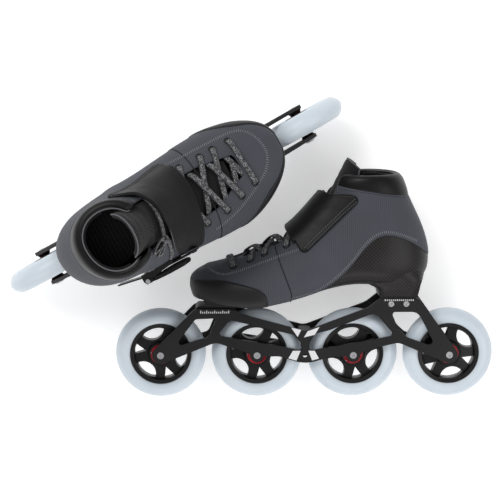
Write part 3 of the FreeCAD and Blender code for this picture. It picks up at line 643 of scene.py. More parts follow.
def boot_pt(s, th, d=0.0):
    (ix, iz), (ox, oz), wm, wl, nb, nt, k = station(s)
    cx, cz = (ix + ox) / 2, (iz + oz) / 2
    hx, hz = (ix - ox) / 2, (iz - oz) / 2
    L = math.hypot(hx, hz)
    c, sn = math.cos(math.radians(th)), math.sin(math.radians(th))
    n = nt if c > 0 else nb
    u = math.copysign(abs(c) ** (2.0 / n), c) if abs(c) > 1e-9 else 0.0
    v = math.copysign(abs(sn) ** (2.0 / n), sn) if abs(sn) > 1e-9 else 0.0
    u = u - k * (1 - u * u)
    f = max(0.2, (L - d) / L)
    w = (wm if v > 0 else wl) - d
    return np.array((cx + hx * u * f, v * max(w, 2.0), cz + hz * u * f))


def spline_rows(K, t, q):
    """Natural cubic spline through rows K at parameters t, read at q."""
    n = len(t)
    h = np.diff(t)
    shape = K.shape[1:]
    Y = K.reshape(n, -1)
    A = np.zeros((n, n))
    B = np.zeros((n, Y.shape[1]))
    A[0, 0] = A[-1, -1] = 1
    for i in range(1, n - 1):
        A[i, i - 1], A[i, i], A[i, i + 1] = h[i - 1], 2 * (h[i - 1] + h[i]), h[i]
        B[i] = 6 * ((Y[i + 1] - Y[i]) / h[i] - (Y[i] - Y[i - 1]) / h[i - 1])
    M = np.linalg.solve(A, B)
    i = np.clip(np.searchsorted(t, q) - 1, 0, n - 2)
    a = ((t[i + 1] - q) / h[i])[:, None]
    b = ((q - t[i]) / h[i])[:, None]
    hh = (h[i] ** 2)[:, None]
    out = a * Y[i] + b * Y[i + 1] + ((a ** 3 - a) * M[i] + (b ** 3 - b) * M[i + 1]) * hh / 6
    return out.reshape((len(q),) + shape)


NT = 240
TH = np.arange(NT) * 360.0 / NT


def skin_grid(d=0.0, first=0, per=1.6, extra=None):
    """Dense rows of the boot skin, and the station of each row."""
    rows = [np.array([boot_pt(float(i), a, d) for a in TH]) for i in range(first, len(STN))]
    K = np.array(rows)
    step = np.linalg.norm(np.diff(K, axis=0), axis=2).mean(1)
    t = np.r_[0, np.cumsum(np.maximum(step, 0.5))]
    q = np.linspace(0, t[-1], int(t[-1] / per) + 1)
    G = spline_rows(K, t, q)
    st = np.interp(q, t, np.arange(first, len(STN)))
    return G, st


def grid_normals(G, wrap=True):
    du = np.gradient(G, axis=0)
    dv = np.roll(G, -1, 1) - np.roll(G, 1, 1) if wrap else np.gradient(G, axis=1)
    n = np.cross(du, dv)
    n /= np.maximum(np.linalg.norm(n, axis=2, keepdims=True), 1e-9)
    return n


def grid_faces(r, c, wrap):
    F = []
    for i in range(r - 1):
        for j in range(c if wrap else c - 1):
            k = (j + 1) % c
            F.append((i * c + j, (i + 1) * c + j, (i + 1) * c + k, i * c + k))
    return F


G0, S0 = skin_grid(0.0, 0)
N0 = grid_normals(G0)
centre = G0.mean(1, keepdims=True)
FLIP = ((G0 - centre) * N0).sum(2).mean() < 0
if FLIP:
    N0 = -N0
R0, C0 = G0.shape[:2]
F0 = grid_faces(R0, C0, True)
if FLIP:
    F0 = [tuple(reversed(f)) for f in F0]
# check the winding against the normals
a_, b_, c_ = (G0.reshape(-1, 3)[F0[5000][k]] for k in (0, 1, 2))
if np.dot(np.cross(b_ - a_, c_ - a_), N0.reshape(-1, 3)[F0[5000][0]]) < 0:
    F0 = [tuple(reversed(f)) for f in F0]
A0 = np.hstack([G0.reshape(-1, 3), N0.reshape(-1, 3)])
XZ, XY = A0[:, [0, 2]], A0[:, [0, 1]]
shell_poly = np.vstack([[(-190, 151)], curve_pts(SHELL_EDGE, 2.0), [(119, 114.0), (121, 60), (-190, 60)]])
toe_poly = np.vstack([[(190, 128.0), (150, 131.0)], curve_pts(TOE_EDGE, 2.0), [(42.5, 80), (190, 80)]])
seam_line = curve_pts(SEAM, 1.5)
vamp_poly = np.vstack([[(58.0, 260.0), (41, 198)], seam_line, [(16.9, 60), (240, 60), (240, 260)]])
THROAT = [(76.5, -14), (77.5, -9), (78.2, -1.5), (77.5, 6), (75.5, 11), (36, 17.5), (10, 18), (-80, 19), (-80, -33),
          (10, -33), (36, -31)]
th_col = np.tile(TH, R0)
top_side = np.cos(np.radians(th_col)) > 0.15
sd_shell = poly_sd(XZ, shell_poly)
sd_toe = poly_sd(XZ, toe_poly)
sd_vamp = poly_sd(XZ, vamp_poly)
sd_col = (A0[:, 2] - (250 - (40 - A0[:, 0]) * math.tan(math.radians(8.5)))) * math.cos(math.radians(8.5))
sd_thr = np.where(top_side, poly_sd(XY, THROAT), -60.0)
# columns: 6 shell, 7 toe, 8 vamp, 9 collar, 10 throat, 11 not shell, 12 not toe, 13 not vamp, 14 not collar, 15 not throat
A0 = np.hstack([A0, np.stack([sd_shell, sd_toe, sd_vamp, sd_col, sd_thr,
                              -sd_shell, -sd_toe, -sd_vamp, -sd_col, -sd_thr], 1)])
SKIN = BVHTree.FromPolygons([tuple(p) for p in A0[:, :3]], F0)


def top_hit(x, y, lift=0.0):
    p, n, _, _ = SKIN.ray_cast(Vector((x, y, 400)), Vector((0, 0, -1)))
    if p is None:
        p, n, _, _ = SKIN.find_nearest(Vector((x, y, 200)))
    if n.z < 0:
        n = -n
    return np.array(p + n * lift), np.array(n)


def side_hit(x, z, sgn, lift=0.0):
    p, n, _, _ = SKIN.ray_cast(Vector((x, sgn * 300, z)), Vector((0, -sgn, 0)))
    if p is None:
        return None
    if n.y * sgn < 0:
        n = -n
    return np.array(p + n * lift), np.array(n)


def nearest(p, lift=0.0):
    q, n, _, _ = SKIN.find_nearest(Vector(p))
    c = Vector((q.x, 0, q.z))
    if n.dot(q - Vector((-60 if q.z > 190 else q.x, 0, min(q.z, 170)))) < 0:
        n = -n
    return np.array(q + n * lift), np.array(n)


def swell(sd, base, rise, width):
    """Panel height from its edge inwards: a rounded, turned edge."""
    t = np.clip(sd / width, 0, 1)
    return base + rise * np.sqrt(np.clip(1 - (1 - t) ** 2, 0, 1))


# upper: rear quarter and front vamp, both over the shell
A, F = A0, F0
for col in (11, 12, 14, 15):
    A, F = clip(A, F, col)
Aq, Fq = clip(A, F, 13)
h = np.minimum.reduce([swell(Aq[:, 11], 0.35, 0.55, 2.0), swell(Aq[:, 14], 0.35, 0.55, 2.0),
                       swell(Aq[:, 15], 0.35, 0.55, 2.0)])
V, Fc, _ = panel(Aq, Fq, -1.4, h)
me = mesh_from("quarter", V, Fc)
sharpen(me, 50)
item("quarter", me, "upper", "skate", "upper_microfibre", ("upper",))
Av, Fv = clip(A, F, 8)
h = np.minimum.reduce([swell(Av[:, 8], 0.95, 0.75, 2.0), swell(Av[:, 11], 0.5, 1.2, 2.4), swell(Av[:, 15], 0.9, 0.8, 2.0),
                       swell(Av[:, 12], 1.1, 0.6, 1.5)])
V, Fc, _ = panel(Av, Fv, -1.4, h)
me = mesh_from("vamp", V, Fc)
sharpen(me, 50)
item("vamp", me, "upper", "skate", "upper_microfibre", ("upper",))

# toe cap over the vamp
A, F = clip(A0, F0, 7)
A, F = clip(A, F, 11)
h = np.minimum(swell(A[:, 7], 1.7, 1.0, 2.6), swell(A[:, 11], 0.6, 2.1, 4.0))
V, Fc, _ = panel(A, F, -1.2, h)
me = mesh_from("toe_bumper", V, Fc)
sharpen(me, 50)
item("toe_bumper", me, "toe", "skate", "toe_rubber", ("toe_cap",))

# composite shell skin, just under the upper's edge
A0s = A0.copy()
A0s[:, 6] += 3.0
A, F = clip(A0s, F0, 6)
V, Fc, _ = panel(A, F, -2.2, 0.12)
me = mesh_from("shell_skin", V, Fc)
sharpen(me, 50)
item("shell_skin", me, "carbon", "skate", "carbon_shell", ())

# the heel of the shell runs down into its mounting pad
LEVELS = [(116.9, -122.9, -80.0, 24.5, 0.42), (121.0, -124.8, -79.4, 25.5, 0.42), (125.0, -126.4, -76.6, 26.5, 0.43),
          (128.5, -127.7, -70.0, 27.5, 0.44), (133.5, -129.4, -60.0, 29.0, 0.47), (139.0, -131.3, -52.0, 31.0, 0.66),
          (146.0, -133.0, -46.0, 33.0, 0.9), (151.0, -133.4, -42.0, 34.0, 1.0)]
lev = np.array(LEVELS)
zz = np.linspace(116.9, 151.0, 34)
lev = spline_rows(lev[:, 1:], lev[:, 0], zz)
V, F, m = [], [], 72
for z, (x0, x1, w, e) in zip(zz, lev):
    for i in range(m):
        a = 2 * math.pi * i / m
        c, q = math.cos(a), math.sin(a)
        V.append(((x0 + x1) / 2 + math.copysign(abs(c) ** e, c) * (x1 - x0) / 2, math.copysign(abs(q) ** e, q) * w, z))
for i in range(len(zz) - 1):
    for j in range(m):
        k = (j + 1) % m
        F.append((i * m + j, i * m + k, (i + 1) * m + k, (i + 1) * m + j))
F.append(tuple(range(m - 1, -1, -1)))
F.append(tuple((len(zz) - 1) * m + j for j in range(m)))
me = mesh_from("heel_pad", V, F)
sharpen(me, 50)
item("heel_pad", me, "carbon", "skate", "carbon_shell")

# padded lining inside, open where the tongue lies
G1, S1 = skin_grid(9.2, 1, 2.6)
N1 = grid_normals(G1)
if ((G1 - G1.mean(1, keepdims=True)) * N1).sum(2).mean() < 0:
    N1 = -N1
R1, C1 = G1.shape[:2]
F1 = grid_faces(R1, C1, True)
a_, b_, c_ = (G1.reshape(-1, 3)[F1[3000][k]] for k in (0, 1, 2))
if np.dot(np.cross(b_ - a_, c_ - a_), N1.reshape(-1, 3)[F1[3000][0]]) < 0:
    F1 = [tuple(reversed(f)) for f in F1]
A1 = np.hstack([G1.reshape(-1, 3), N1.reshape(-1, 3)])
SLOT = [(76.5, -14.8), (76.5, 11.8), (36, 18.3), (10, 19.5), (-20, 25), (-80, 28), (-80, -39), (-20, -37), (10, -34.5), (36, -31.8)]
top1 = np.cos(np.radians(np.tile(TH, R1))) > 0.1
sd = np.where(top1, poly_sd(A1[:, [0, 1]], SLOT), -60.0)
A1 = np.hstack([A1, (-sd)[:, None], (247.0 - A1[:, 2])[:, None]])
A, F = clip(A1, F1, 6)
A, F = clip(A, F, 7)
V, Fc, _ = panel(A, F, -0.6, 3.6)
me = mesh_from("lining", V, Fc)
sharpen(me, 60)
item("lining", me, "lining", "skate", "liner_mesh", ("liner",))

# collar: a padded band that rolls over the top edge and runs down inside
prof = curve_pts([(188.7, -0.2), (188.3, -0.9), (186.5, -1.7), (184.0, -2.1), (181.8, -1.8), (180.4, -0.5), (179.7, 1.4),
                  (179.5, 3.4), (179.9, 5.2), (181.2, 6.6), (184.2, 7.6), (189.5, 8.6), (196.0, 9.6), (203.0, 10.0)], 0.8)
inner = curve_pts([(203.0, 8.8), (194.0, 7.0), (188.9, 3.2)], 2.0)
loop = np.vstack([prof, inner])
COL_A, COL_B = 27.0, 302.0
cols = np.linspace(COL_A, COL_B, 138)


def collar_pt(al, th, d):
    end = min(th - COL_A, COL_B - th) / 10.0
    th = th + (15.0 - 27.0 * min(1.0, max(0.0, d) / 10.0)) * max(0.0, (th - 235.0) / 67.0) ** 1.5
    k = math.sqrt(max(0.0, 1 - (1 - min(1.0, end)) ** 2))
    mid_a, mid_d = 191.0, 4.0
    al, d = mid_a + (al - mid_a) * (0.35 + 0.65 * k), mid_d + (d - mid_d) * (0.25 + 0.75 * k)
    return boot_pt(station_at(al), th, d)


CG = np.array([[collar_pt(al, th, d) for al, d in loop] for th in cols])
m = len(loop)
F = []
for i in range(len(cols) - 1):
    for j in range(m):
        k = (j + 1) % m
        F.append((i * m + j, i * m + k, (i + 1) * m + k, (i + 1) * m + j))
F.append(tuple(range(m - 1, -1, -1)))
F.append(tuple((len(cols) - 1) * m + j for j in range(m)))
V = CG.reshape(-1, 3)
c = V.mean(0)
a_, b_, c_ = V[F[60][0]], V[F[60][1]], V[F[60][2]]
me = mesh_from("collar", V, F)
import bmesh  # noqa: E402


def fix_normals(me):
    bm = bmesh.new()
    bm.from_mesh(me)
    bmesh.ops.recalc_face_normals(bm, faces=bm.faces)
    bm.to_mesh(me)
    bm.free()
    me.update()


fix_normals(me)
sharpen(me, 60)
item("collar", me, "collar", "skate", "liner_mesh", ("liner",))

# piping on the collar's outer top edge
parts = []
for al, d, r in ((180.15, 6.3, 0.85),):
    line = np.array([collar_pt(al, th, d) for th in np.linspace(COL_A + 1.5, COL_B - 1.5, 170)])
    ctr = line.mean(0)
    parts.append(sweep(line, [(0, 0, 1)] * len(line), round_profile(r)))
V, F, uv = merge(parts)
me = mesh_from("collar_piping", V, F)
item("collar_piping", me, "piping", "skate", "upper_microfibre")


def stitches(pts, nrm, length, gap, r=0.28, sink=0.1, slant=0.0, amp=None):
    """Short thread strokes along a line on a surface. With amp the strokes zigzag across it."""
    P, N = np.asarray(pts, float), np.asarray(nrm, float)
    d = np.r_[0, np.cumsum(np.linalg.norm(np.diff(P, axis=0), axis=1))]

    def at(t):
        p = np.array([np.interp(t, d, P[:, c]) for c in range(3)])
        n = np.array([np.interp(t, d, N[:, c]) for c in range(3)])
        return p, n / np.linalg.norm(n)
    out, t, k = [], gap, 0
    while t + length < d[-1]:
        p0, n0 = at(t)
        p1, n1 = at(t + length)
        tan = (p1 - p0) / max(np.linalg.norm(p1 - p0), 1e-9)
        side = np.cross(n0, tan)
        if amp:
            p0 = p0 - side * amp
            p1 = p1 + side * amp
        elif slant:
            p0, p1 = p0 - side * slant, p1 + side * slant
        nn = (n0 + n1) / 2
        line = [p0 - nn * (sink + r), p0 * 0.8 + p1 * 0.2 + nn * (r * 0.7 - sink), (p0 + p1) / 2 + nn * (r - sink),
                p0 * 0.2 + p1 * 0.8 + nn * (r * 0.7 - sink), p1 - nn * (sink + r)]
        out.append(sweep(line, [nn] * 5, round_profile(r, 6)))
        t += length + gap
        k += 1
    return out


def surface_line(pts, kind, sgn=1, lift=0.0, step=1.0):
    """A smooth x,z (side) or x,y (top) line laid on the boot."""
    C = curve_pts(pts, step)
    out, nn = [], []
    for a, b in C:
        h = side_hit(a, b, sgn, lift) if kind == "side" else top_hit(a, b, lift)
        if h is not None:
            out.append(h[0])
            nn.append(h[1])
    return np.array(out), np.array(nn)


ROWS_IN = [(79.0, 24.5), (60.3, 24.8), (45.0, 24.6), (21.3, 26.0)]
ROWS_OUT = [(82.7, -26.5), (63.5, -31.7), (43.0, -37.5), (19.0, -39.0)]
TOP_IN, TOP_OUT = (-31.0, 28.5), (-29.0, -33.0)
thread, dark = [], []
for sgn in (1, -1):
    # zigzag row above the shell's edge
    row = [(x + 0.6, z + 4.2) for x, z in SHELL_EDGE[1:13]]
    row[0] = (-121.5, 178.5)
    P, N = surface_line(row, "side", sgn, 0.95)
    thread += stitches(P, N, 0.7, 1.6, 0.27, 0.02, amp=1.3)
    # dark cords along the shell's edge and the vamp seam: painted shade under the upper's overlapping edges
    P, N = surface_line(SHELL_EDGE[:15], "side", sgn, 0.25)
    dark.append(sweep(P, N, round_profile(0.42, 6)))
    P, N = surface_line(SEAM[:-1] + [(17.2, 113.0)], "side", sgn, 0.75)
    dark.append(sweep(P, N, round_profile(0.75, 8)))
    # dotted row under the collar
    P, N = surface_line([(-36, 235.5), (-60, 233.0), (-85, 229.4), (-108, 225.4)], "side", sgn, 0.8)
    dark += stitches(P, N, 1.7, 1.0, 0.28, 0.05)
# zigzag row round the eyelets, from the instep round the toe end
row = [(2, 35.4), (12, 34.2), (24, 33.4), (44, 33.0), (60, 32.5), (74, 31.8), (88, 30.2), (98, 25.5), (105, 16.5), (108.4, 6.0), (108.0, -7.0),
       (99, -20.8), (88, -27.8), (77, -33.6), (64, -39.0), (51, -43.5), (33, -47.2), (22, -48.0)]
P, N = surface_line(row, "top", 1, 1.75)
thread += stitches(P, N, 0.7, 1.7, 0.27, 0.02, amp=1.6)
V, F, uv = merge(thread)
item("upper_stitching", mesh_from("upper_stitching", V, F), "thread", "skate", "upper_microfibre")
# one near-black mesh: painted shade cords along the shell edge and vamp seam, with the real dotted stitch row under the
# collar
V, F, uv = merge(dark)
item("edge_shade_and_stitching", mesh_from("edge_shade_and_stitching", V, F), "edge", "skate", "upper_microfibre")

# ------------------------------------------------------------------ tongue
TC = 31
rows = []
for s in np.linspace(5.45, 14.2, 44):
    grow = min(1.0, (s - 5.45) / 1.8)
    ym, yl = mix(10.2, 16.6, grow), mix(-13.2, -28.6, grow)
    (ix, iz), (ox, oz), wm, wl, nb, nt, kk = station(s)
    dv = np.array((ix - ox, 0, iz - oz))
    L = np.linalg.norm(dv) / 2
    dv /= 2 * L
    c = np.array(((ix + ox) / 2, 0, (iz + oz) / 2))
    row = []
    for j in range(TC):
        y = mix(yl, ym, j / (TC - 1))
        v = min(0.95, abs(y) / (wm if y > 0 else wl))
        u = math.sqrt(1 - v * v)
        u = u - kk * (1 - u * u)
        row.append(c + dv * (L * u - 3.9) + np.array((0, y, 0)))
    rows.append(np.array(row))
last = rows[-1]
# above the instep the tongue curls round the front of the ankle, inside the collar
TOPS = 24
for i in range(1, TOPS + 1):
    q = i / TOPS
    w = min(1.0, q / 0.55)
    w = w * w * (3 - 2 * w)
    z = last[TC // 2][2] + (266.5 - last[TC // 2][2]) * q
    front = last[TC // 2][0] - 0.5 * (z - last[TC // 2][2])
    row = []
    for j in range(TC):
        t = 2 * j / (TC - 1) - 1
        a = last[j] + np.array((-0.5 * (z - last[TC // 2][2]), 0, z - last[TC // 2][2]))
        fi = math.radians(80 * t)
        b = np.array((-60.0 + (front + 60.0) * math.cos(fi), -4.6 + 25.6 * math.sin(fi), z - 9.5 * q * t * t))
        row.append(a + (b - a) * w)
    rows.append(np.array(row))
TG = np.array(rows)
TN = grid_normals(TG, False)
if TN[20, 12] @ np.array((1, 0, 1)) < 0:
    TN = -TN
A = np.hstack([TG.reshape(-1, 3), TN.reshape(-1, 3)])
F = grid_faces(len(TG), TC, False)
a_, b_, c_ = (A[F[600][k], :3] for k in (0, 1, 2))
if np.dot(np.cross(b_ - a_, c_ - a_), A[F[600][0], 3:6]) < 0:
    F = [tuple(reversed(f)) for f in F]
ii, jj = np.meshgrid(np.arange(len(TG)), np.arange(TC), indexing="ij")
edge = np.minimum(np.minimum(jj, TC - 1 - jj) * 1.7, np.minimum(ii, (len(TG) - 1 - ii)) * 1.6).reshape(-1)
pad = np.sqrt(np.clip(1 - (1 - np.clip(edge / 5.0, 0, 1)) ** 2, 0, 1))
chan = 0.35 * np.abs(np.sin(ii.reshape(-1) * math.pi / 6.0)) ** 0.6
V, Fc, rim = panel(A, F, -1.2 - 4.2 * pad, -1.0 + 0.75 * pad + chan * pad)
me = mesh_from("tongue_pad", V, Fc)
sharpen(me, 70)
item("tongue_pad", me, "tongue", "tongue", "tongue_mesh", ("tongue",))
# binding along the tongue's top and upper sides
K = len(TG)
path = [TG[i, 0] for i in range(K - 7, K)] + [TG[K - 1, j] for j in range(1, TC)] + [TG[i, TC - 1] for i in range(K - 2, K - 8, -1)]
nn = [TN[i, 0] for i in range(K - 7, K)] + [TN[K - 1, j] for j in range(1, TC)] + [TN[i, TC - 1] for i in range(K - 2, K - 8, -1)]
line = curve_pts(np.array(path)[::2] - np.array(nn)[::2] * 0.9, 1.0)
V, F, uv = sweep(line, np.tile((0.2, 0.1, 1.0), (len(line), 1)), round_profile(0.8))
item("tongue_binding", mesh_from("tongue_binding", V, F), "piping", "tongue", "tongue_mesh")

# ------------------------------------------------------------------ strap
STRAP_ROWS = [(74.0, 191.0, 249.0, 0.6), (60.0, 192.5, 250.0, 1.2), (48.0, 194.0, 250.5, 2.4), (35.0, 196.5, 251.0, 4.4),
              (18.0, 198.0, 251.5, 4.7), (0.0, 200.0, 251.5, 4.7), (-18.0, 205.0, 250.0, 4.6), (-35.0, 213.0, 249.0, 4.2),
              (-50.0, 221.5, 248.0, 3.1), (-66.0, 229.0, 247.0, 2.3)]


def skin_normal(s, th):
    e = 0.15
    a = boot_pt(s + e, th) - boot_pt(s - e, th)
    b = boot_pt(s, th + 2) - boot_pt(s, th - 2)
    n = np.cross(a, b)
    n /= np.linalg.norm(n)
    c = boot_pt(s, 0) * 0.5 + boot_pt(s, 180) * 0.5
    return -n if n @ (boot_pt(s, th) - c) < 0 else n


base, nb_ = [], []
for th, up, lo, gap in STRAP_ROWS:
    r1, r2 = [], []
    for j in range(7):
        s = station_at(mix(up, lo, j / 6.0))
        n = skin_normal(s, th)
        r1.append(boot_pt(s, th) + n * gap)
        r2.append(n)
    base.append(r1)
    nb_.append(r2)
B1, B2 = np.array(base), np.array(nb_)


def dense(Gd, na, nbb):
    t = np.arange(Gd.shape[0], dtype=float)
    q = np.linspace(0, t[-1], na)
    G2 = spline_rows(Gd, t, q)
    G2 = np.swapaxes(G2, 0, 1)
    t = np.arange(G2.shape[0], dtype=float)
    G3 = spline_rows(G2, t, np.linspace(0, t[-1], nbb))
    return np.swapaxes(G3, 0, 1)


SA, SB = 110, 56
SG, SN = dense(B1, SA, SB), dense(B2, SA, SB)
SN /= np.linalg.norm(SN, axis=2, keepdims=True)
lu = np.cumsum(np.vstack([np.zeros((1, SB)), np.linalg.norm(np.diff(SG, axis=0), axis=2)]), axis=0)
lw = np.cumsum(np.hstack([np.zeros((SA, 1)), np.linalg.norm(np.diff(SG, axis=1), axis=2)]), axis=1)
Lu, Lw = lu[-1:, :], lw[:, -1:]


def round_end(a, b, La, Lb, r0, r1):
    """Distance inside a rectangle with corners of radius r0 at a = 0 and r1 at a = La."""
    r = np.where(a < La / 2, r0, r1)
    x = np.minimum(a, La - a)
    y = np.minimum(b, Lb - b)
    d = np.minimum(x, y)
    corner = (x < r) & (y < r)
    return np.where(corner, r - np.hypot(r - x, r - y), d)


sd = round_end(lu, lw, Lu, Lw, 1.0, 5.0)
# the stitched end on the inner side is cut straight, parallel to the instep
END = [(-61.8, 228.1), (4.5, 164.1), (60.0, 269.0), (60.0, 330.0), (-45.0, 330.0), (-46.0, 230.3)]


def filleted(poly, radii):
    """Polygon with arcs of the given radii at its corners."""
    out, n = [], len(poly)
    for i, (p, r) in enumerate(zip(poly, radii)):
        p = np.array(p, float)
        if not r:
            out.append(p)
            continue
        a, b = np.array(poly[i - 1], float) - p, np.array(poly[(i + 1) % n], float) - p
        a, b = a / np.linalg.norm(a), b / np.linalg.norm(b)
        half = math.acos(np.clip(a @ b, -1, 1)) / 2
        t = r / math.tan(half)
        c = p + (a + b) / np.linalg.norm(a + b) * (r / math.sin(half))
        s0, s1 = p + a * t - c, p + b * t - c
        for k in np.linspace(0, 1, 9):
            v = s0 * (1 - k) + s1 * k
            out.append(c + v / np.linalg.norm(v) * r)
    return out


flat = SG.reshape(-1, 3)
end_sd = poly_sd(flat[:, [0, 2]], filleted(END, (5.5, 6.0, 0, 0, 0, 0)))
end_sd = np.where(flat[:, 1] > 0, end_sd, 99.0)
end_sd = np.where((flat[:, 1] > 0) & (np.repeat(np.linspace(74, -66, SA), SB) < 34), 99.0, end_sd)
sd = np.minimum(sd.reshape(-1), end_sd)
A = np.hstack([flat, SN.reshape(-1, 3), sd.reshape(-1, 1), lu.reshape(-1, 1), lw.reshape(-1, 1)])
F = grid_faces(SA, SB, False)
a_, b_, c_ = (A[F[2000][k], :3] for k in (0, 1, 2))
if np.dot(np.cross(b_ - a_, c_ - a_), A[F[2000][0], 3:6]) < 0:
    F = [tuple(reversed(f)) for f in F]
A, F = clip(A, F, 6)
t = np.clip(A[:, 6] / 1.6, 0, 1)
h = 1.7 + 1.2 * np.sqrt(np.clip(1 - (1 - t) ** 2, 0, 1)) - 0.22 * np.exp(-((A[:, 6] - 4.2) / 0.6) ** 2)
V, Fc, rim = panel(A, F, 0.05, h)
me = mesh_from("ankle_strap", V, Fc)
sharpen(me, 60)
item("ankle_strap", me, "strap", "strap", "strap_leather", ("strap",))


def on_strap(a, b, lift):
    """Point on the strap from its fractional grid place."""
    i, j = np.clip(a, 0, SA - 1.001), np.clip(b, 0, SB - 1.001)
    i0, j0 = int(i), int(j)
    fi, fj = i - i0, j - j0

    def rd(Gd):
        return (Gd[i0, j0] * (1 - fi) * (1 - fj) + Gd[i0 + 1, j0] * fi * (1 - fj)
                + Gd[i0, j0 + 1] * (1 - fi) * fj + Gd[i0 + 1, j0 + 1] * fi * fj)
    n = rd(SN)
    n /= np.linalg.norm(n)
    return rd(SG) + n * lift, n


def strap_row(inset, side):
    """Line at a distance from the stitched end or an edge, along the strap's round outline."""
    pts, nn = [], []
    mid_lu = Lu[0].mean() / (SA - 1)
    if side == "end":
        path = []
        r = max(0.5, 6.5 - inset)
        w = Lw[0, 0]
        L = 58.0
        path += [(u, inset) for u in np.arange(L, inset + r, -1.0)]
        path += [(inset + r - r * math.sin(k), inset + r - r * math.cos(k)) for k in np.linspace(0, math.pi / 2, 7)]
        path += [(inset, b) for b in np.arange(inset + r, w - inset - r, 1.0)]
        path += [(inset + r - r * math.cos(k), w - inset - r + r * math.sin(k)) for k in np.linspace(0, math.pi / 2, 7)]
        path += [(u, w - inset) for u in np.arange(inset + r, L, 1.0)]
    else:
        path = [(u, inset) for u in np.arange(55, Lu[0].min() - 6, 1.0)]
    for a, b in path:
        i = np.interp(a, lu[:, SB // 2], np.arange(SA))
        wi = lw[int(min(SA - 1, i))]
        bb = b if b < Lw[0, 0] / 2 else wi[-1] - (Lw[0, 0] - b)
        j = np.interp(bb, wi, np.arange(SB))
        p, n = on_strap(i, j, 2.82)
        pts.append(p)
        nn.append(n)
    return pts, nn


STRAP_SKIN = BVHTree.FromPolygons([tuple(p) for p in V[:len(A)]], [f for f in F])


def strap_side(x, z, lift):
    p, n, _, _ = STRAP_SKIN.ray_cast(Vector((x, 200, z)), Vector((0, -1, 0)))
    if p is None:
        return None
    if n.y < 0:
        n = -n
    return np.array(p + n * lift), np.array(n)


thr = []
a_, b_ = np.array(END[0]), np.array(END[1])
d_ = (b_ - a_) / np.linalg.norm(b_ - a_)
w_ = np.array((-d_[1], d_[0]))
for inset in (2.4, 5.6):
    got = [strap_side(*(a_ + d_ * t + w_ * inset), 0.0) for t in np.arange(6.0, np.linalg.norm(b_ - a_) - 6.0, 1.2)]
    got = [g for g in got if g is not None]
    thr += stitches([g[0] for g in got], [g[1] for g in got], 2.0, 1.1, 0.45, 0.0)
V, F, uv = merge(thr)
item("strap_stitching", mesh_from("strap_stitching", V, F), "dark_thread", "strap", "strap_leather")
# turned edge along the upper side of the strap
line = [on_strap(i, 0.7, 1.5) for i in np.linspace(8, SA - 7, 90)]
V, F, uv = sweep([p for p, n in line], [n for p, n in line], round_profile(0.6, 8))
item("strap_piping", mesh_from("strap_piping", V, F), "piping", "strap", "strap_leather")

# ------------------------------------------------------------------ laces, eyelets
LIFT = 1.75
eye_in = [top_hit(x, y, LIFT if i < 3 else 0.9) for i, (x, y) in enumerate(ROWS_IN)]
eye_out = [top_hit(x, y, LIFT if i < 3 else 0.9) for i, (x, y) in enumerate(ROWS_OUT)]


def shaft_hit(x, y, lift):
    """Point of the shaft's front near x, y, by section."""
    best = None
    for s in np.linspace(11.5, 15.9, 180):
        wm, wl = station(s)[2:4]
        v = min(0.999, abs(y) / (wm if y > 0 else wl))
        th = math.degrees(math.asin(v))
        th = th if y > 0 else -th
        p = boot_pt(s, th)
        if best is None or abs(p[0] - x) < best[0]:
            best = (abs(p[0] - x), p, skin_normal(s, th))
    return best[1] + best[2] * lift, best[2]


t_in, t_out = shaft_hit(*TOP_IN, 0.9), shaft_hit(*TOP_OUT, 0.9)
ring = [(2.75, -0.7), (2.65, 0.3), (2.95, 0.75), (3.5, 0.9), (4.1, 0.65), (4.5, 0.15), (4.5, -0.7)]
# each eyelet's opening is closed by a near-black disc: it stands for the dark lining under the hole and painted shade
# inside it
hole = [(0.02, -0.65), (0.02, -0.2), (2.8, -0.2), (2.8, -0.65)]
rings, holes = [], []
for p, n in eye_in + eye_out + [t_in, t_out]:
    rings.append(lathe_at(ring, p, n))
    holes.append(lathe_at(hole, p, n))
me = mesh_from("eyelet_rings", *merge(rings)[:2])
fix_normals(me)
item("eyelet_rings", me, "eyelet", "skate", "eyelet_black", ("eyelets",))
me = mesh_from("eyelet_hole_shade", *merge(holes)[:2])
fix_normals(me)
item("eyelet_hole_shade", me, "hole", "skate", "eyelet_black")


def ribbon(points, normals, width=6.8, thick=2.1, step=0.9):
    P = curve_pts(points, step)
    d0 = np.r_[0, np.cumsum(np.linalg.norm(np.diff(np.asarray(points, float), axis=0), axis=1))]
    d1 = np.linspace(0, d0[-1], len(P))
    N = np.stack([np.interp(d1, d0, np.asarray(normals, float)[:, c]) for c in range(3)], 1)
    n = len(P)
    sc = np.ones(n)
    for i in range(n):
        e = min(i, n - 1 - i) * step
        sc[i] = min(1.0, 0.62 + 0.38 * min(1.0, e / 3.0))
    shape = flat_profile(width, thick)
    round_ = sum(math.dist(shape[i - 1], shape[i]) for i in range(len(shape)))
    V, F, uv = sweep(P, N, shape, scale=sc)
    # the UV round the profile runs 0 to 14, so the lace material's painted edge shade falls on the ribbon's two side
    # edges
    return V, F, [(a, b * 14.0 / round_) for a, b in uv]


def lace_run(a, b_xy, h0=1.6, h1=1.6, dive=-2.4, over=0.0):
    """From an eyelet over the edge of its side, across the opening, and in under the other side's edge."""
    (pa, na) = a
    x1, y1 = b_xy
    pts, nn = [pa - na * 1.2, pa + na * 0.9], [na, na]
    for f in (0.12, 0.3, 0.5, 0.7, 0.86):
        x, y = mix(pa[0], x1, f), mix(pa[1], y1, f)
        lift = mix(h0, h1, f) + over * math.sin(math.pi * f) + (0.9 if f < 0.3 else 0.0)
        p, n = top_hit(x, y, lift)
        pts.append(p)
        nn.append(n)
    p, n = top_hit(x1, y1, dive)
    pts.append(p)
    nn.append(n)
    return ribbon(pts, nn)


runs = []
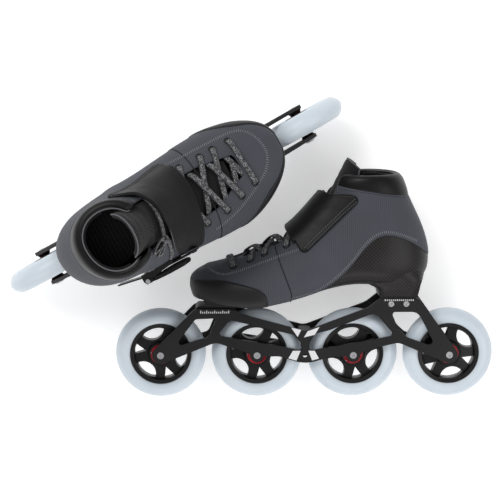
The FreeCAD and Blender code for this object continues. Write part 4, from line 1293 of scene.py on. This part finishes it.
# first bar, over both sides
(pa, na), (pb, nb2) = eye_in[0], eye_out[0]
pts, nn = [pa - na * 1.2, pa + na * 1.1], [na, na]
for f in (0.12, 0.3, 0.5, 0.7, 0.88):
    p, n = top_hit(mix(pa[0], pb[0], f), mix(pa[1], pb[1], f), 3.7)
    pts.append(p)
    nn.append(n)
pts += [pb + nb2 * 1.1, pb - nb2 * 1.2]
nn += [nb2, nb2]
runs.append(ribbon(pts, nn))
# under crossings of the first pair, low in the opening
for a, b in (((69.0, 15.0), (78.0, -16.0)), ((73.5, 7.5), (65.0, -23.0))):
    pts, nn = [], []
    for f in (0.0, 0.25, 0.5, 0.75, 1.0):
        low = -1.6 if a[1] > 0 else 0.2
        p, n = top_hit(mix(a[0], b[0], f), mix(a[1], b[1], f), low - (1.2 if f in (0.0, 1.0) else 0))
        pts.append(p)
        nn.append(n)
    runs.append(ribbon(pts, nn))
# crossings: lateral eyelets on top, inner ones beneath
runs.append(lace_run(eye_in[1], (46.5, -31.0), 1.7, 0.6))
runs.append(lace_run(eye_out[1], (49.0, 15.0), 2.4, 2.6, -1.0, 1.5))
runs.append(lace_run(eye_in[2], (25.0, -32.5), 1.7, 0.6))
runs.append(lace_run(eye_out[2], (27.0, 16.0), 2.4, 2.6, -1.0, 1.5))
runs.append(lace_run(eye_in[3], (4.0, -31.0), 1.2, 0.4, -2.4, 0.0))
runs.append(lace_run(eye_out[3], (5.0, 16.5), 1.2, 0.6, -1.6, 0.0))
# across the front of the ankle to the knot, which lies on the outer side with its loops tucked down


def on_skin(points, lifts):
    """Points brought onto the boot, each at its own height above it."""
    P_, N_ = [], []
    for p, l in zip(points, lifts):
        q, n, _, _ = SKIN.find_nearest(Vector(p))
        c = Vector((-70.0 if q.z > 195 else q.x, 0, min(q.z, 300) if q.z > 195 else 120.0))
        if n.dot(q - c) < 0:
            n = -n
        P_.append(np.array(q + n * l))
        N_.append(np.array(n))
    return P_, N_


pa, na = t_in
P_, N_ = on_skin([(-26.0, 26.0, 220), (-21.0, 16.0, 226), (-18.5, 3.0, 229), (-19.5, -10.0, 228), (-24.0, -21.0, 223),
                  (-28.0, -27.0, 219)], [1.8, 2.2, 2.4, 2.4, 2.4, 2.6])
runs.append(ribbon([pa - na * 1.2, pa + na * 1.2] + P_, [na, na] + N_, 5.6, 2.2))
kp, kn = P_[-1], N_[-1] / np.linalg.norm(N_[-1])
P_, N_ = on_skin([(-26.0, -25.0, 221), (-25.0, -30.0, 210), (-25.5, -38.0, 197), (-29.0, -44.0, 184), (-33.0, -47.0, 172)],
                 [3.4, 2.6, 1.8, 1.6, 1.4])
runs.append(ribbon(P_, N_, 5.0, 2.0))
P_, N_ = on_skin([(-27.0, -26.0, 220), (-32.0, -26.0, 228), (-39.0, -29.5, 231), (-42.5, -34.0, 226), (-39.0, -34.5, 219),
                  (-33.0, -31.0, 216), (-28.0, -27.0, 218)], [4.0, 3.6, 2.4, 2.0, 2.0, 3.0, 4.2])
runs.append(ribbon(P_, N_, 4.2, 1.9, 0.7))
P_, N_ = on_skin([(-28.0, -27.0, 219), (-33.0, -34.0, 208), (-38.5, -40.0, 200), (-40.0, -42.0, 207), (-36.0, -36.5, 214),
                  (-29.0, -28.0, 219)], [4.6, 3.2, 2.0, 2.0, 3.0, 4.8])
runs.append(ribbon(P_, N_, 4.2, 1.9, 0.7))
tan = np.cross(kn, (0.3, 0.6, 1.0))
tan /= np.linalg.norm(tan)
side = np.cross(kn, tan)
for coords in (
    [(-3.6, -2.6, 0.4), (-2.4, -0.9, 3.2), (0.0, 0.5, 4.2), (2.2, 1.8, 3.0), (3.4, 3.0, 0.4)],
    [(3.4, -2.8, 0.4), (2.0, -1.0, 3.8), (0.0, 0.6, 5.0), (-2.0, 2.0, 3.6), (-3.2, 3.0, 0.4)],
):
    runs.append(ribbon([kp + tan * a + side * b + kn * c for a, b, c in coords], [kn] * len(coords), 4.0, 1.9, 0.7))
V, F, uv = merge(runs)
me = mesh_from("lace", V, F, uv=uv)
fix_normals(me)
item("lace", me, "lace", "skate", "lace_cord", ("laces",))

# ------------------------------------------------------------------ the lever's moulded body
BC = np.array((-43.0, -56.2, 157.0))
BT = np.array((math.cos(math.radians(24)), 0.0, math.sin(math.radians(24))))
BW = np.array((-math.sin(math.radians(24)), 0.0, math.cos(math.radians(24))))
BN = np.array((0.0, -1.0, 0.0))
prof = [(-14.0, 7.4), (-11.0, 5.4), (-4.0, 4.0), (8.0, 3.3), (19.0, 3.2), (24.5, 3.7), (27.2, 5.0), (27.6, 6.6), (26.6, 8.4),
        (25.0, 9.4)]
t = 23.6
while t > 11.0:
    prof += [(t, 9.65), (t - 0.7, 9.05), (t - 1.4, 9.05), (t - 2.1, 9.65)]
    t -= 3.1
prof += [(8.0, 9.7), (0.0, 9.7), (-8.0, 9.45), (-12.5, 8.9)]
prof = np.array(prof)
mid = prof.mean(0)
layers = [(-8.9, 0.80), (-8.6, 0.90), (-7.9, 0.97), (-7.0, 1.0), (7.0, 1.0), (7.9, 0.97), (8.6, 0.90), (8.9, 0.80)]
V, F, m = [], [], len(prof)
for w, k in layers:
    for a, b in prof:
        a2, b2 = mid[0] + (a - mid[0]) * (1 - (1 - k) * 0.35), mid[1] + (b - mid[1]) * k
        V.append(BC + BT * a2 + BW * w + BN * b2)
for i in range(len(layers) - 1):
    for j in range(m):
        k = (j + 1) % m
        F.append((i * m + j, i * m + k, (i + 1) * m + k, (i + 1) * m + j))
F.append(tuple(range(m - 1, -1, -1)))
F.append(tuple((len(layers) - 1) * m + j for j in range(m)))
me = mesh_from("lever_grip", V, F)
fix_normals(me)
sharpen(me, 32)
item("lever_grip", me, "nylon", "buckle_lever", "buckle_nylon")

# ------------------------------------------------------------------ tyres
for n, x in enumerate(AXLES, 1):
    prof = curve_pts([(34.05, -10.2), (34.8, -10.9), (36.4, -11.6), (38.4, -12.0), (41.0, -11.7), (43.6, -10.5), (46.6, -7.6),
                      (48.9, -4.2), (50.0, 0.0), (48.9, 4.2), (46.6, 7.6), (43.6, 10.5), (41.0, 11.7), (38.4, 12.0),
                      (36.4, 11.6), (34.8, 10.9), (34.05, 10.2)], 0.8)
    prof = np.minimum(prof, [[50.0, 12.0]])
    V, F, _ = lathe_y([tuple(p) for p in prof], x, 50.0, 128)
    me = mesh_from("tyre_%d" % n, V, F)
    fix_normals(me)
    sharpen(me, 50)
    item("tyre_%d" % n, me, "tyre", "wheel_%d" % n, "wheel_urethane", ("wheel_%d_tyre" % n,))

# ------------------------------------------------------------------ frame print: plain slanted bars and dashes
bars = [
    [(15.7, 81.3), (4.6, 78.7), (8.5, 70.9)],
    [(-2.5, 77.2), (-15.5, 82.0), (4.6, 65.3), (-7.6, 46.0), (-1.6, 46.6), (9.6, 64.6)],
    [(13.6, 55.3), (5.2, 55.3), (9.7, 44.2), (18.6, 46.8)],
    [(-2.5, 77.2), (-15.5, 82.0), (-10.2, 73.2), (1.6, 70.4)],
    [(-3.4, 55.3), (-10.4, 55.3), (-15.2, 46.4), (-7.6, 44.4)],
]
dashes = []
for x in np.arange(84.0, 116.0, 2.2):
    dashes.append([(x, 97.4), (x + 1.0, 97.4), (x + 1.0, 99.4 + (1.2 if int(x) % 3 == 0 else 0)), (x, 99.4 + (1.2 if int(x) % 3 == 0 else 0))])
for x in np.arange(-119.0, -87.0, 2.2):
    dashes.append([(x, 111.0), (x + 1.0, 111.0), (x + 1.0, 112.8), (x, 112.8)])


def inside_rail(x, z):
    return True


def decal(polys, side):
    parts = []
    y0, y1 = side * 20.0, side * 20.12
    for poly in polys:
        m = len(poly)
        V = [(x, y0, z) for x, z in poly] + [(x, y1, z) for x, z in poly]
        F = [tuple(range(m)), tuple(range(2 * m - 1, m - 1, -1))]
        F += [(i, i + m, (i + 1) % m + m, (i + 1) % m) for i in range(m)]
        parts.append((V, F, None))
    return parts


for side, nm in ((1, "inner"), (-1, "outer")):
    V, F, _ = merge(decal([bars[0], bars[2], bars[3], bars[4]] + dashes, side) )
    me = mesh_from("frame_print_" + nm, V, F, smooth=False)
    fix_normals(me)
    item("frame_print_" + nm, me, "print", "skate", "rail_aluminium")

# ------------------------------------------------------------------ place both skates


def cad_copy(prefix, node, mats, bevel=0.0, angle=32):
    """A CAD node's mesh brought into the skate's frame, welded, with its edges eased."""
    src = frame["nodes"][prefix + "_" + node]
    me = src.data.copy()
    me.name = prefix + "_" + node + "_mesh"
    me.transform(PLACE[prefix].inverted())
    bm = bmesh.new()
    bm.from_mesh(me)
    bmesh.ops.remove_doubles(bm, verts=bm.verts, dist=0.00002)
    bmesh.ops.recalc_face_normals(bm, faces=bm.faces)
    bmesh.ops.dissolve_limit(bm, angle_limit=math.radians(1.0), verts=bm.verts, edges=bm.edges)
    bm.to_mesh(me)
    bm.free()
    me.materials.clear()
    for m_ in mats:
        me.materials.append(MAT[m_])
    me.polygons.foreach_set("use_smooth", [True] * len(me.polygons))
    sharpen(me, angle)
    o = bpy.data.objects.new(prefix + "_" + node + "_detail", me)
    if bevel:
        b = o.modifiers.new("ease", "BEVEL")
        b.width = bevel * MM
        b.segments = 2
        b.limit_method = "ANGLE"
        b.angle_limit = math.radians(angle)
        b.harden_normals = True
        b.use_clamp_overlap = True
    return o


COPIES = [
    ("boot_shell", ["carbon"], "skate", "carbon_shell", 0.4, 40),
    ("ladder_strap", ["nylon"], "strap", "ladder_nylon", 0.15, 30),
    ("buckle_base", ["nylon"], "skate", "buckle_nylon", 0.35, 30),
    ("buckle_lever", ["nylon"], "buckle_lever", "buckle_nylon", 0.5, 30),
    ("buckle_pins", ["steel"], "skate", "pin_steel", 0.25, 30),
    ("frame_inner_rail", ["frame"], "skate", "rail_aluminium", 0.4, 30),
    ("frame_outer_rail", ["frame"], "skate", "rail_aluminium", 0.4, 30),
    ("mount_blocks", ["frame"], "skate", "rail_aluminium", 0.4, 30),
    ("frame_screws", ["steel"], "skate", "axle_steel", 0.2, 30),
    ("axles", ["steel"], "skate", "axle_steel", 0.25, 30),
    ("bearing_inner_rings", ["ring"], "skate", "bearing_steel", 0.0, 30),
]
for n in range(1, 5):
    COPIES.append(("wheel_%d_hub" % n, ["hub"], "wheel_%d" % n, "hub_nylon", 0.35, 30))
    COPIES.append(("wheel_%d_bearings" % n, ["shield", "ring"], "wheel_%d" % n, "bearing_body", 0.0, 30))

for prefix in PREFIXES:
    M = PLACE[prefix]
    for name, me, body, slot, stands_for, mods in ITEMS:
        o = bpy.data.objects.new(prefix + "_" + name, me)
        scene.collection.objects.link(o)
        o.matrix_world = M
        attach(o, prefix + "_" + body)
        for node in stands_for:
            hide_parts(prefix + "_" + node)
    for node, mats, body, slot, bevel, angle in COPIES:
        o = cad_copy(prefix, node, mats, bevel, angle)
        scene.collection.objects.link(o)
        o.matrix_world = M
        if node.endswith("bearings"):
            # the outer ring is bright, the shield between the rings is dark red
            x = AXLES[int(node[6]) - 1]
            for p in o.data.polygons:
                r = math.hypot(p.center.x - x * MM, p.center.z - 0.05) / MM
                p.material_index = 1 if r > 10.25 else 0
        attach(o, prefix + "_" + body)
        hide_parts(prefix + "_" + node)

# ------------------------------------------------------------------ stage
fl = bpy.data.meshes.new("floor")
fl.from_pydata([(-6, -6, -0.0005), (6, -6, -0.0005), (6, 6, -0.0005), (-6, 6, -0.0005)], [], [(0, 1, 2, 3)])
floor = bpy.data.objects.new("floor", fl)
scene.collection.objects.link(floor)
k = Nodes("pale_floor")
k.done((0.84, 0.84, 0.845), 0.8, Emission_Color=(1, 1, 1, 1), Emission_Strength=0.42)
fl.materials.append(k.m)

world = bpy.data.worlds.new("studio")
scene.world = world
world.use_nodes = True
world.node_tree.nodes["Background"].inputs["Color"].default_value = (1, 1, 1, 1)
world.node_tree.nodes["Background"].inputs["Strength"].default_value = 0.5


def area(name, pos, target, size, power):
    d = bpy.data.lights.new(name, "AREA")
    d.shape = "RECTANGLE"
    d.size, d.size_y = size
    d.energy = power
    o = bpy.data.objects.new(name, d)
    scene.collection.objects.link(o)
    o.location = pos
    o.rotation_euler = (Vector(target) - Vector(pos)).to_track_quat("-Z", "Y").to_euler()


area("key", (-0.9, 1.0, 1.5), (0, 0, 0.08), (1.2, 0.8), 20)
area("fill", (1.3, -0.5, 1.4), (0, 0, 0.08), (1.2, 1.2), 10)
area("front", (0.0, -1.4, 0.9), (0, 0, 0.1), (1.6, 0.6), 7)

cam_d = bpy.data.cameras.new("camera")
cam_d.sensor_width = 36.0
cam_d.lens = 127.3
cam_d.clip_start, cam_d.clip_end = 0.05, 20
cam = bpy.data.objects.new("camera", cam_d)
scene.collection.objects.link(cam)
pos, tgt = Vector((-0.044, 0.140, 1.996)), Vector((-0.0034, -0.0046, 0.0))
zc = (pos - tgt).normalized()
xc = Vector((0, 1, 0)).cross(zc).normalized()
yc = zc.cross(xc)
mc = Matrix.Identity(4)
for i in range(3):
    mc[i][0], mc[i][1], mc[i][2], mc[i][3] = xc[i], yc[i], zc[i], pos[i]
cam.matrix_world = mc
scene.camera = cam
scene.view_settings.view_transform = "Standard"
